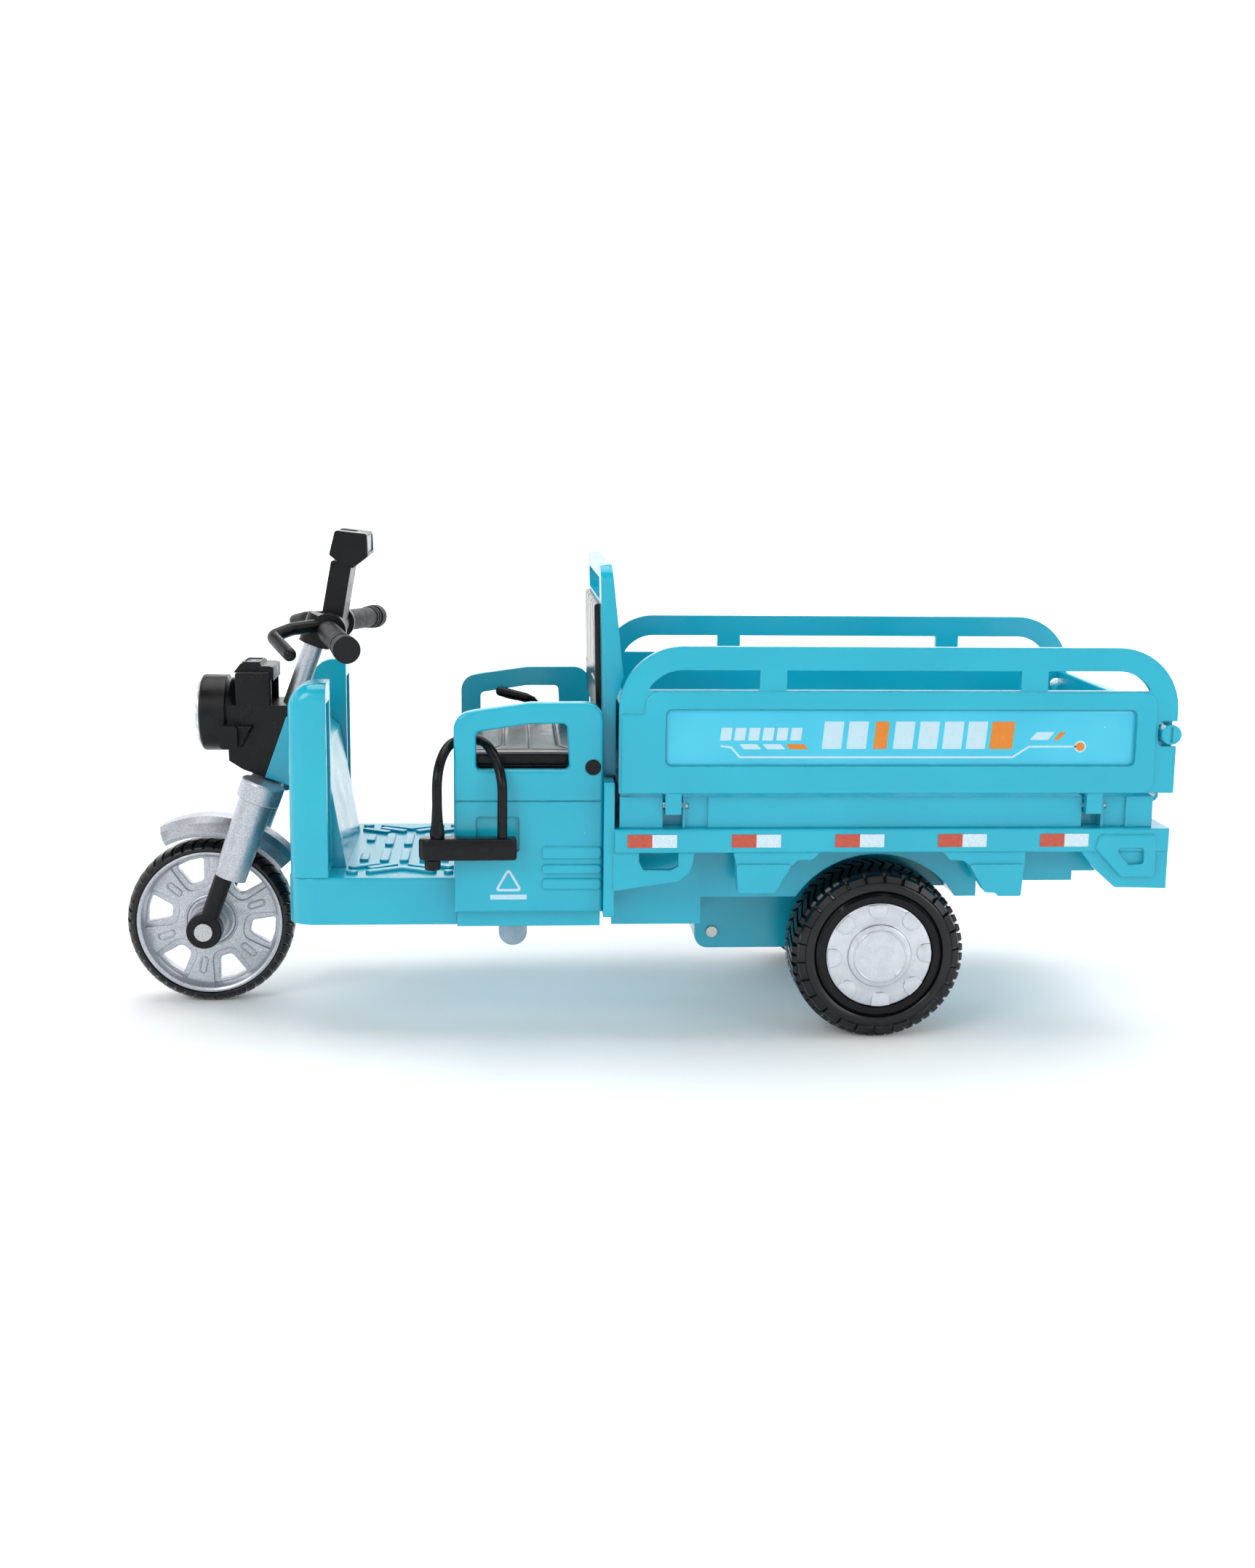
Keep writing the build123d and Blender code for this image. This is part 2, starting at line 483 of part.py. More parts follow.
CENTRES = MODULE * (WHEEL_TEETH + PINION_TEETH) / 2
IDLER_X = AXLE_X + CENTRES * cos(radians(IDLER_ANGLE))
IDLER_Z = AXLE_Z + CENTRES * sin(radians(IDLER_ANGLE))
FLY_X = IDLER_X + CENTRES * cos(radians(FLYWHEEL_ANGLE))
FLY_Z = IDLER_Z + CENTRES * sin(radians(FLYWHEEL_ANGLE))
IDLER_TURN = mesh_turn(WHEEL_TEETH, 0, IDLER_ANGLE, PINION_TEETH)
FLY_TURN = mesh_turn(WHEEL_TEETH, IDLER_TURN, FLYWHEEL_ANGLE, PINION_TEETH)
FIRST_MESH_Y, SECOND_MESH_Y = -2.5, 2.5       # centre planes of the two gear pairs


def gear(x, z, y, teeth, turn):
    return side_prism(Pos(x, z) * gear_sketch(teeth, turn), y - GEAR_WIDTH / 2, y + GEAR_WIDTH / 2)


def axle_gear():
    wheel = gear(AXLE_X, AXLE_Z, FIRST_MESH_Y, WHEEL_TEETH, 0)
    return wheel - rod((AXLE_X, -9, AXLE_Z), (AXLE_X, 9, AXLE_Z), AXLE_R + SEAT)


def idler_gears():
    """Pinion driven by the axle gear, moulded with the large gear that drives the flywheel."""
    cluster = gear(IDLER_X, IDLER_Z, FIRST_MESH_Y, PINION_TEETH, IDLER_TURN)
    cluster += gear(IDLER_X, IDLER_Z, SECOND_MESH_Y, WHEEL_TEETH, IDLER_TURN)
    cluster += rod((IDLER_X, FIRST_MESH_Y, IDLER_Z), (IDLER_X, SECOND_MESH_Y, IDLER_Z), 2.2)
    return cluster - rod((IDLER_X, -20, IDLER_Z), (IDLER_X, 20, IDLER_Z), SHAFT_R + RUN)


def idler_shaft():
    reach = CASE_HALF - CASE_WALL / 2
    return rod((IDLER_X, -reach, IDLER_Z), (IDLER_X, reach, IDLER_Z), SHAFT_R)


def flywheel():
    """Steel flywheel with its pinion and shaft, in one turned piece."""
    reach = CASE_HALF - CASE_WALL - 0.4
    shape = rod((FLY_X, -reach, FLY_Z), (FLY_X, reach, FLY_Z), SHAFT_R)
    shape += gear(FLY_X, FLY_Z, SECOND_MESH_Y, PINION_TEETH, FLY_TURN)
    return shape + rod((FLY_X, FLYWHEEL_Y, FLY_Z), (FLY_X, FLYWHEEL_Y + FLYWHEEL_WIDTH, FLY_Z), FLYWHEEL_R)


def gearbox_half(side):
    """Half of the gearbox case: an open shell with bearing bosses and a bulge round the axle gear."""
    outline = rect(CASE_FRONT, CASE_REAR, CASE_BOTTOM, CASE_TOP, 3.4)
    inner = rect(CASE_FRONT + CASE_WALL, CASE_REAR - CASE_WALL, CASE_BOTTOM + CASE_WALL,
                 CASE_TOP - CASE_WALL, 2.0)
    bulge_r = MODULE * (WHEEL_TEETH / 2 + 0.8) + 0.7 + CASE_WALL
    bulge_half = GEAR_WIDTH / 2 - FIRST_MESH_Y + 1.0 + CASE_WALL
    low, high = sorted((0, side * CASE_HALF))
    inner_low, inner_high = sorted((side * -0.001, side * (CASE_HALF - CASE_WALL)))
    shell = side_prism(outline, low, high)
    bulge = sorted((0, side * bulge_half))
    hollow = sorted((side * -0.001, side * (bulge_half - CASE_WALL)))
    shell += side_prism(Pos(AXLE_X, AXLE_Z) * Circle(bulge_r), *bulge)
    shell -= side_prism(inner, inner_low, inner_high)
    shell -= side_prism(Pos(AXLE_X, AXLE_Z) * Circle(bulge_r - CASE_WALL), *hollow)
    for x, z, radius, depth in ((AXLE_X, AXLE_Z, AXLE_R + RUN, 40), (IDLER_X, IDLER_Z, SHAFT_R + SEAT, 0),
                                (FLY_X, FLY_Z, SHAFT_R + RUN, 0)):
        wall = CASE_HALF - CASE_WALL
        shell += rod((x, side * (wall - BOSS_DEPTH), z), (x, side * (wall + 0.1), z), radius + BOSS_WALL)
        bore_end = CASE_HALF + depth if depth else CASE_HALF - CASE_WALL / 3
        shell -= rod((x, side * (wall - 2), z), (x, side * bore_end, z), radius)
    return shell


def rear_axle():
    reach = REAR_TRACK / 2 + REAR_TYRE_WIDTH / 2 - 3.4
    return rod((AXLE_X, -reach, AXLE_Z), (AXLE_X, reach, AXLE_Z), AXLE_R)


def rear_tyre():
    """Left rear tyre, a rounded ring with a raised bead."""
    half = REAR_TYRE_WIDTH / 2
    section = [(REAR_RIM_R, -half + 0.8), (REAR_RIM_R + 1.2, -half), (TYRE_R - 2.0, -half),
               (TYRE_R - 0.6, -half + 1.2),
               (TYRE_R, -half + 3.0), (TYRE_R, half - 3.0), (TYRE_R - 0.6, half - 1.2), (TYRE_R - 2.0, half),
               (REAR_RIM_R + 1.2, half), (REAR_RIM_R, half - 0.8)]
    return turned(section, AXLE_X, -REAR_TRACK / 2, AXLE_Z)


def rear_rim():
    """Left rear rim: dished disc with a hub, closed on its outer side by the hubcap."""
    half, out = REAR_TYRE_WIDTH / 2, REAR_RIM_R - SEAT
    dish = HUBCAP_R + 0.1
    section = [(AXLE_R + SEAT, -half + 3.2), (dish, -half + 3.2), (dish, -half + 0.2),
               (out - 0.9, -half - 0.2),
               (out, -half + 0.6), (out, half - 1.0), (out - 1.6, half - 1.0), (out - 1.6, -half + 5.2),
               (AXLE_R + 2.0, -half + 5.2), (AXLE_R + 2.0, half + 2.2), (AXLE_R + SEAT, half + 2.2)]
    return turned(section, AXLE_X, -REAR_TRACK / 2, AXLE_Z)


def hubcap():
    """Left hubcap: domed disc with a raised centre and eight scallops round its edge."""
    half = REAR_TYRE_WIDTH / 2
    section = [(0, -half + 3.2), (0, -half - 1.2), (8.2, -half - 1.0), (8.6, -half - 0.4),
               (HUBCAP_R - 1.0, -half + 0.1),
               (HUBCAP_R, -half + 0.8), (HUBCAP_R, -half + 3.2)]
    cap = turned(section, AXLE_X, -REAR_TRACK / 2, AXLE_Z)
    depth = -REAR_TRACK / 2 - half
    for index in range(SCALLOPS):
        angle = radians(SCALLOP_TURN + 360 / SCALLOPS * index)
        x, z = AXLE_X + (HUBCAP_R - 1.2) * cos(angle), AXLE_Z + (HUBCAP_R - 1.2) * sin(angle)
        cap -= rod((x, depth - 2, z), (x, depth + 0.7, z), SCALLOP_R)
    return cap - rod((AXLE_X, depth + 3.0, AXLE_Z), (AXLE_X, depth + 9, AXLE_Z), AXLE_R + SEAT)


# ---------------------------------------------------------------- floorboard, leg shield and seat

def floorboard():
    """Hollow step-through floor with rounded front corners."""
    body = block(FLOOR_FRONT, BOX_FRONT - 0.1, -FLOOR_HALF, FLOOR_HALF, FLOOR_BOTTOM, FLOOR_TOP)
    body = fillet(body.edges().filter_by(Axis.Z).group_by(Axis.X)[0], 7.0)
    body = fillet(body.faces().sort_by(Axis.Z)[-1].edges(), 0.6)
    hollow = block(FLOOR_FRONT + 2, BOX_FRONT - 2.1, -FLOOR_HALF + 2, FLOOR_HALF - 2, FLOOR_BOTTOM - 1,
                   FLOOR_TOP - 2)
    body -= fillet(hollow.edges().filter_by(Axis.Z).group_by(Axis.X)[0], 5.0)
    return body


def leg_shield():
    """Front shield: two hollow wings open to the rear, with a low middle and a sloping knee panel."""
    half = FLOOR_HALF
    profile = Polygon((SHIELD_FRONT, FLOOR_TOP), (SHIELD_REAR, FLOOR_TOP), (SHIELD_REAR, SHIELD_TOP),
                      (SHIELD_FRONT, SHIELD_TOP), align=None)
    corner = profile.vertices().sort_by(Axis.Y)[-2:].sort_by(Axis.X)[0]
    shield = side_prism(fillet([corner], 6.5), -half, half)
    shield = fillet(shield.edges().filter_by(Axis.Z).group_by(Axis.X)[0], 4.0)
    cut = rect(-SHIELD_CUT_HALF, SHIELD_CUT_HALF, SHIELD_CUT_BOTTOM, SHIELD_TOP + 20, 7.0)
    shield -= front_prism(cut, SHIELD_FRONT - 1, SHIELD_REAR + 1)
    for side in (-1, 1):
        near, far = sorted((side * (SHIELD_CUT_HALF + SHIELD_WALL), side * (half - SHIELD_WALL)))
        pocket = block(SHIELD_FRONT + SHIELD_WALL, SHIELD_REAR + 1, near, far, FLOOR_TOP + SHIELD_WALL,
                       SHIELD_TOP - 5)
        shield -= pocket
    shield -= block(SHIELD_FRONT + SHIELD_WALL, SHIELD_REAR + 1, -SHIELD_CUT_HALF, SHIELD_CUT_HALF,
                    FLOOR_TOP + SHIELD_WALL, SHIELD_TOP)
    front, rear, top = SHIELD_FRONT + SHIELD_WALL, SHIELD_REAR, SHIELD_CUT_BOTTOM - 1.4
    knee = polygon([(front - 0.2, FLOOR_TOP), (rear + 3.5, FLOOR_TOP), (rear - 1.8, top - 2.1),
                    (rear - 4.2, top),
                    (front - 0.2, top)])
    hollow = polygon([(front, FLOOR_TOP - 1), (rear + 1.9, FLOOR_TOP - 1), (rear - 3.1, top - 3.1),
                      (rear - 4.8, top - SHIELD_WALL), (front, top - SHIELD_WALL)])
    shield += side_prism(knee, -SHIELD_CUT_HALF + 0.6, SHIELD_CUT_HALF - 0.6)
    shield -= side_prism(hollow, -SHIELD_CUT_HALF + 2.2, SHIELD_CUT_HALF - 2.2)
    crown_sweep = steer_point(0, 0, HEAD_BOTTOM)
    arch_top = crown_sweep.Z - (SHIELD_FRONT - crown_sweep.X) * tan(radians(RAKE))
    arch = rect(-SHIELD_CUT_HALF + 2.2, SHIELD_CUT_HALF - 2.2, FLOOR_TOP - 20, arch_top - 0.4, 5.0)
    return shield - front_prism(arch, SHIELD_FRONT - 1, SHIELD_FRONT + SHIELD_WALL + 0.1)


def seat_box():
    """Open-topped box under the seat; the space inside is the storage bin."""
    box = block(BOX_FRONT, BOX_REAR, -BOX_HALF, BOX_HALF, BOX_BOTTOM, BOX_TOP)
    box -= block(BOX_FRONT + BOX_WALL, BOX_REAR - BOX_WALL, -BOX_HALF + BOX_WALL, BOX_HALF - BOX_WALL,
                 BOX_BOTTOM + BOX_WALL, BOX_TOP + 1)
    return box


def armrest():
    """Left side cover of the seat: armrest loop above, ribbed panel below."""
    face, inner = -ARM_OUTER, -ARM_OUTER + ARM_THICK
    front, rear, top = ARM_FRONT, ARM_REAR, ARM_TOP
    outline = Polygon((front, ARM_BOTTOM), (rear, ARM_BOTTOM), (rear, top), (front + 19.1, top - 0.1),
                      (front + 5.8, top - 2.0), (front, top - 3.2), align=None)
    high = outline.vertices().group_by(Axis.X)
    outline = fillet([high[0].sort_by(Axis.Y)[-1], high[-1].sort_by(Axis.Y)[-1]], ARM_CORNER)
    plate = side_prism(outline, face, inner)
    hole = polygon([(front + ARM_POST, ARM_HOLE_BOTTOM), (rear - 8.6, ARM_HOLE_BOTTOM),
                    (rear - 9.2, top - ARM_RAIL),
                    (front + 19.1, top - ARM_RAIL), (front + ARM_POST, top - ARM_RAIL - 2.1)], 1.3)
    plate -= side_prism(hole, face - 1, inner + 1)
    plate = fillet(plate.faces().sort_by(Axis.Y)[0].edges(), 0.8)
    plate -= side_prism(rect(front - 1, rear + 1, ARM_SEAM_Z, ARM_SEAM_Z + 0.4), face - 1, face + 0.4)
    recess = rect(front + 5.5, front + 16.3, ARM_BOTTOM + 15.6, ARM_BOTTOM + 24.6, 0.8)
    plate -= side_prism(recess, face - 1, face + 0.8)
    for rise, height in ARM_RIBS:
        low = ARM_BOTTOM + rise
        rib = side_prism(rect(rear - 15.4, rear - 0.4, low, low + height, 0.9), face - ARM_RIB_RAISE,
                         face + 0.5)
        plate += fillet(rib.faces().sort_by(Axis.Y)[0].edges(), 0.4)
    return plate - rod((SEAT_PIN_X, face - 1, SEAT_PIN_Z), (SEAT_PIN_X, inner + 1, SEAT_PIN_Z),
                       SEAT_PIN_R + RUN)


def seat_base():
    """Plate under the cushion, with two ears whose pins turn in the side covers."""
    low = CUSHION_BOTTOM - SEAT_BASE_THICK
    base = side_prism(rect(CUSHION_FRONT - 0.4, CUSHION_REAR + 0.4, low, CUSHION_BOTTOM), -CUSHION_HALF - 0.4,
                      CUSHION_HALF + 0.4)
    for side in (-1, 1):
        near, far = sorted((side * (CUSHION_HALF - 1.2), side * (BOX_HALF - 0.8)))
        arm = polygon([(CUSHION_REAR - 1.6, low), (SEAT_PIN_X - 0.4, low),
                       (SEAT_PIN_X + 0.9, SEAT_PIN_Z - 1.6),
                       (SEAT_PIN_X, SEAT_PIN_Z + 1.6), (SEAT_PIN_X - 1.8, SEAT_PIN_Z + 1.0),
                       (CUSHION_REAR + 0.3, CUSHION_BOTTOM), (CUSHION_REAR - 1.6, CUSHION_BOTTOM)])
        base += side_prism(arm, near, far)
        base += rod((SEAT_PIN_X, side * (CUSHION_HALF - 1.2), SEAT_PIN_Z),
                    (SEAT_PIN_X, side * (ARM_OUTER + 0.3), SEAT_PIN_Z), SEAT_PIN_R)
    return base - block(CUSHION_REAR, SEAT_PIN_X + 5, -CUSHION_HALF + 1.2, CUSHION_HALF - 1.2, 60, 80)


def cushion():
    pad = block(CUSHION_FRONT, CUSHION_REAR, -CUSHION_HALF, CUSHION_HALF, CUSHION_BOTTOM, CUSHION_TOP)
    return fillet(pad.faces().sort_by(Axis.Z)[-1].edges(), 1.2)


def seat_back():
    """Backrest frame, thicker at mid height, with rounded top corners and a slot under its top bar."""
    profile = polygon([(BACK_TOP_X, BACK_TOP - 0.4), (BACK_FOOT_X, BOX_TOP + 0.1), (BACK_REAR, BOX_TOP + 0.1),
                       (BACK_REAR - 0.1, BACK_TOP - 34.0), (BACK_REAR + 1.8, BACK_TOP - 28.2),
                       (BACK_REAR - 1.3, BACK_TOP)])
    frame = side_prism(profile, -BACK_HALF, BACK_HALF)
    front = rect(-BACK_HALF, BACK_HALF, BOX_TOP - 20, BACK_TOP, 5.0)
    frame &= front_prism(front, BACK_TOP_X - 3, BACK_REAR + 5)
    slot = rect(-PAD_HALF, PAD_HALF, PAD_TOP + 0.8, BACK_TOP - 3.6, 1.6)
    return frame - front_prism(slot, BACK_TOP_X - 3, BACK_REAR + 5)


def back_pad():
    """Plain pad on the front of the backrest, leaning with it."""
    lean = atan2(BACK_FOOT_X - BACK_TOP_X, BACK_TOP - BOX_TOP)
    middle = (PAD_BOTTOM + PAD_TOP) / 2
    front_x = BACK_TOP_X + (BACK_TOP - middle) * tan(lean) - SEAT
    pad = Box(PAD_PROUD, 2 * PAD_HALF, PAD_TOP - PAD_BOTTOM)
    pad = fillet(pad.faces().sort_by(Axis.X)[0].edges(), 0.9)
    return Pos(front_x - PAD_PROUD / 2, 0, middle) * Rot(0, -degrees(lean), 0) * pad


def brake_lever():
    """Parking brake lever: boss on its pin, thin arm, and a thick grip that points forwards."""
    x, y, z = LEVER_PIN_X, LEVER_Y, LEVER_PIN_Z
    knee, neck, tip = (x - 7.0, y, z + 7.4), (x - 9.2, y, z + 8.0), (x - 16.4, y, z + 9.8)
    lever = rod((x, y - LEVER_HALF, z), (x, y + LEVER_HALF, z), LEVER_PIN_R + 1.2)
    lever += rod((x, y, z), knee, LEVER_ARM_R)
    lever += rod((x - 6.4, y, z + 7.2), neck, LEVER_ARM_R, LEVER_GRIP_R)
    lever += rod((x - 8.8, y, z + 7.9), tip, LEVER_GRIP_R) + Pos(*tip) * Sphere(LEVER_GRIP_R)
    return lever - rod((x, y - 3, z), (x, y + 3, z), LEVER_PIN_R + RUN)


def lever_bracket():
    """Ear on the seat box rim, with the headed pin of the parking brake lever."""
    x, z = LEVER_PIN_X, LEVER_PIN_Z
    outer = LEVER_Y + LEVER_HALF + LEVER_SIDE_GAP
    inner = LEVER_Y - LEVER_HALF - LEVER_SIDE_GAP
    ear = side_prism(rect(x - 1.8, x + 1.8, BOX_TOP, z + 1.4, 0.5), outer, BOX_HALF - 0.2)
    pin = rod((x, inner, z), (x, outer + 0.3, z), LEVER_PIN_R)
    return ear + pin + rod((x, inner - 0.3, z), (x, inner, z), LEVER_PIN_R + 0.4)


def floor_lug():
    """Round-ended lug that stands down from the underside of the seat box."""
    low, high = LUG_Y - LUG_HALF, LUG_Y + LUG_HALF
    lug = rod((LUG_X, low, LUG_Z), (LUG_X, high, LUG_Z), LUG_R)
    return lug + block(LUG_X - LUG_R, LUG_X + LUG_R, low, high, LUG_Z, BOX_BOTTOM)


# ---------------------------------------------------------------- lamp and steering head

def stem_passage(radius):
    return rod(steer_point(0, 0, CROWN_TOP - 4), steer_point(0, 0, STEM_TOP), radius)


def behind_axis(offset):
    """Half-space block behind a plane that holds the steering axis."""
    return STEER * (Pos(offset + 30, 0, 60) * Box(60, 80, 120))


def steering_head():
    """Rear half of the steering bearing, joined to the leg shield."""
    low, high = steer_point(0, 0, HEAD_BOTTOM), steer_point(0, 0, HEAD_TOP)
    lean = tan(radians(RAKE))
    rear = SHIELD_FRONT
    outline = polygon([(low.X, low.Z), (high.X, high.Z), (rear, high.Z + 1),
                       (rear, low.Z - (rear - low.X) * lean)])
    head = side_prism(outline, -HEAD_HALF, HEAD_HALF)
    return head - stem_passage(STEM_R + RUN)


def lamp_housing():
    """Headlamp drum, gauge pod, turn signal lugs and the saddle that closes the steering bearing."""
    x, z = LAMP_X, LAMP_Z
    lamp = rod((x, 0, z), (x + LAMP_DEPTH, 0, z), LAMP_R)
    lamp = fillet(lamp.faces().sort_by(Axis.X)[0].edges(), 0.8)
    neck = rod((x + 6.4, 0, z), (x + 11.6, 0, z - 0.8), LAMP_R - 0.6, LAMP_R - 3.2)
    pod = side_prism(rect(x + 9.6, x + 19.0, z - 0.2, z + 11.7, 0.8), -POD_HALF, POD_HALF)
    pod = fillet(pod.faces().sort_by(Axis.Z)[-1].edges(), 0.6)
    pod -= side_prism(rect(x + 15.4, x + 20.0, z + 1.2, z + 10.0, 0.6), -POD_HALF + 1.6, POD_HALF - 1.6)
    gauge = side_prism(polygon([(x + 9.0, z + 11.4), (x + 10.9, z + 13.8), (x + 16.1, z + 13.8),
                                (x + 16.6, z + 11.4)]), -POD_HALF + 2.5, POD_HALF - 2.5)
    hook = side_prism(polygon([(x + 17.0, z + 11.6), (x + 19.6, z + 9.4), (x + 19.6, z + 12.9),
                               (x + 18.4, z + 13.2),
                               (x + 15.6, z + 13.2), (x + 15.6, z + 11.6)]), -POD_HALF + 1.5, POD_HALF - 1.5)
    saddle = side_prism(polygon([(x + 7.3, z + 3.0), (x + 23.8, z + 3.0), (x + 24.2, z - 0.2),
                                 (x + 16.5, z - 17.2),
                                 (x + 11.7, z - 14.3), (x + 7.7, z - 11.7)]), -HEAD_HALF, HEAD_HALF)
    lamp += neck + pod + gauge + hook + saddle
    for side in (-1, 1):
        lamp += side_prism(rect(x + 6.0, x + 10.6, z - 8.0, z - 2.0, 1.0),
                           *sorted((side * (HEAD_HALF - 1.9), side * (HEAD_HALF + 4.4))))
    lamp -= behind_axis(-SEAT)
    lamp -= STEER * (Pos(0, 0, HEAD_BOTTOM - 30) * Box(60, 60, 60))
    return lamp - stem_passage(STEM_R + RUN)


def lamp_lens():
    """Shallow dome on the front of the lamp drum."""
    seat_x = LAMP_X - SEAT
    dome = Pos(seat_x + LENS_DOME_R - LENS_RISE, 0, LAMP_Z) * Sphere(LENS_DOME_R)
    dome &= rod((seat_x - 10, 0, LAMP_Z), (seat_x, 0, LAMP_Z), LENS_R)
    return dome


# ---------------------------------------------------------------- front wheel and fork

def front_tyre():
    half = FRONT_TYRE_WIDTH / 2
    section = [(FRONT_RIM_R, -half + 0.4), (FRONT_RIM_R + 0.8, -half), (TYRE_R - 1.4, -half + 0.2),
               (TYRE_R - 0.3, -half + 1.4),
               (TYRE_R, -half + 3.4), (TYRE_R, half - 3.4), (TYRE_R - 0.3, half - 1.4),
               (TYRE_R - 1.4, half - 0.2),
               (FRONT_RIM_R + 0.8, half), (FRONT_RIM_R, half - 0.4)]
    return turned(section, FRONT_AXLE_X, 0, FRONT_AXLE_Z)


def front_rim():
    """Six-spoke rim: hub, web with fan-shaped windows, and band."""
    x, z = FRONT_AXLE_X, FRONT_AXLE_Z
    half, out, bore = FRONT_TYRE_WIDTH / 2, FRONT_RIM_R - SEAT, FRONT_AXLE_R + RUN
    hub, band = bore + 3.0, FRONT_RIM_R - 1.5
    section = [(bore, -half - 1.0), (hub, -half - 1.0), (hub + 0.4, -WEB_HALF), (band - 0.6, -WEB_HALF),
               (band, -half + 0.6), (out, -half + 0.2), (out, half - 0.2), (band, half - 0.6),
               (band - 0.6, WEB_HALF),
               (hub + 0.4, WEB_HALF), (hub, half + 1.0), (bore, half + 1.0)]
    rim = turned(section, x, 0, z)
    near, far = WINDOW_INNER_R, WINDOW_OUTER_R
    for index in range(SPOKES):
        fan = polygon([(near, -1.6), (far - 0.4, -3.8), (far, 0), (far - 0.4, 3.8), (near, 1.6)], 1.0)
        turn = Rot(0, 0, WINDOW_TURN + 360 / SPOKES * index)
        rim -= side_prism(Pos(x, z) * turn * fan, -half, half)
    return rim


def front_axle():
    x, z = FRONT_AXLE_X, FRONT_AXLE_Z
    reach = FORK_HALF + LOWER_LEG_R + 0.7
    return rod((x, -reach, z), (x, reach, z), FRONT_AXLE_R)


def fork_crown():
    """Two collars and the bridge between them, on the foot of the stem."""
    crown = Part()
    for side in (-1, 1):
        collar = Pos(0.4, side * FORK_HALF, (CROWN_BOTTOM + CROWN_TOP) / 2) * Cylinder(CROWN_R,
                                                                                       CROWN_TOP - CROWN_BOTTOM)
        crown += fillet(collar.edges().filter_by(GeomType.CIRCLE), 0.7)
    crown += Pos(0.4, 0, (CROWN_BOTTOM + CROWN_TOP) / 2) * Box(8.0, 2 * FORK_HALF,
                                                               CROWN_TOP - CROWN_BOTTOM - 0.8)
    crown = STEER * crown
    return crown - rod(steer_point(0, 0, CROWN_BOTTOM - 1), steer_point(0, 0, CROWN_TOP + 1), STEM_R + SEAT)


def fork_tubes():
    legs = []
    for side in (-1, 1):
        tube = Cone(FORK_R - 0.1, FORK_R + 0.2, CROWN_BOTTOM - FORK_BOTTOM,
                    align=(Align.CENTER, Align.CENTER, Align.MIN))
        tube = Pos(0.2, side * FORK_HALF, FORK_BOTTOM) * tube
        legs.append(STEER * (tube - Pos(-AXLE_LEAD + 0.1, side * FORK_HALF,
                                        FORK_BOTTOM) * Cylinder(LOWER_LEG_R + SEAT, 8)))
    return solids_of(legs)


def fork_lower_legs():
    """Black lower legs with the round eyes that hold the axle."""
    legs = []
    for side in (-1, 1):
        leg = Pos(-AXLE_LEAD + 0.1, side * FORK_HALF, 0) * Cylinder(
            LOWER_LEG_R, FORK_BOTTOM + 3.9, align=(Align.CENTER, Align.CENTER, Align.MIN))
        eye = Pos(-AXLE_LEAD, side * FORK_HALF, 0) * Rot(90, 0, 0) * Cylinder(EYE_R, 2 * LOWER_LEG_R)
        eye = fillet(eye.edges().filter_by(GeomType.CIRCLE), 0.6)
        bore = Pos(-AXLE_LEAD, side * FORK_HALF, 0) * Rot(90, 0, 0) * Cylinder(FRONT_AXLE_R + SEAT, 12)
        legs.append(STEER * (leg + eye - bore))
    return solids_of(legs)


def front_fender():
    """Arched mudguard between the fork legs, hung from the crown."""
    x, z = FRONT_AXLE_X, FRONT_AXLE_Z
    drop = 3.6
    half = FENDER_HALF
    outer = [(FENDER_R - drop, -half), (FENDER_R - 1.2, -half + 2.0), (FENDER_R, -half + 5.0),
             (FENDER_R, half - 5.0),
             (FENDER_R - 1.2, half - 2.0), (FENDER_R - drop, half)]
    inner = [(r - FENDER_WALL, y * (half - FENDER_WALL * 0.6) / half) for r, y in reversed(outer)]
    ring = turned(outer + inner, x, 0, z)
    start, end = 116.0, 38.0           # degrees from +X towards +Z, front tip and rear tip
    keep = [(0, 0)] + [(60 * cos(radians(a)), 60 * sin(radians(a)))
                       for a in (end, (2 * end + start) / 3, (end + 2 * start) / 3, start)]
    fender = ring & side_prism(Pos(x, z) * polygon(keep), -half - 1, half + 1)
    hanger = STEER * (Pos(0.4, 0, 0) * Box(6.0, 5.0, CROWN_BOTTOM + 0.4,
                                           align=(Align.CENTER, Align.CENTER, Align.MIN)))
    hanger &= turned([(FENDER_R - 0.6, -4), (FENDER_R + 14, -4), (FENDER_R + 14, 4), (FENDER_R - 0.6, 4)], x,
                     0, z)
    return fender + hanger


def stem():
    return rod(steer_point(0, 0, CROWN_BOTTOM + 0.4), steer_point(0, 0, STEM_TOP), STEM_R)


# ---------------------------------------------------------------- handlebar

def neck_outline(radius=0.0):
    """Side outline of the neck between the cross tube and the display."""
    return polygon([(BAR_X - 2.6, BAR_Z + 1), (BAR_X + 2.8, BAR_Z), (BAR_X + 5.9, BAR_Z + 17.2),
                    (BAR_X + 0.6, BAR_Z + 18.0)], radius)


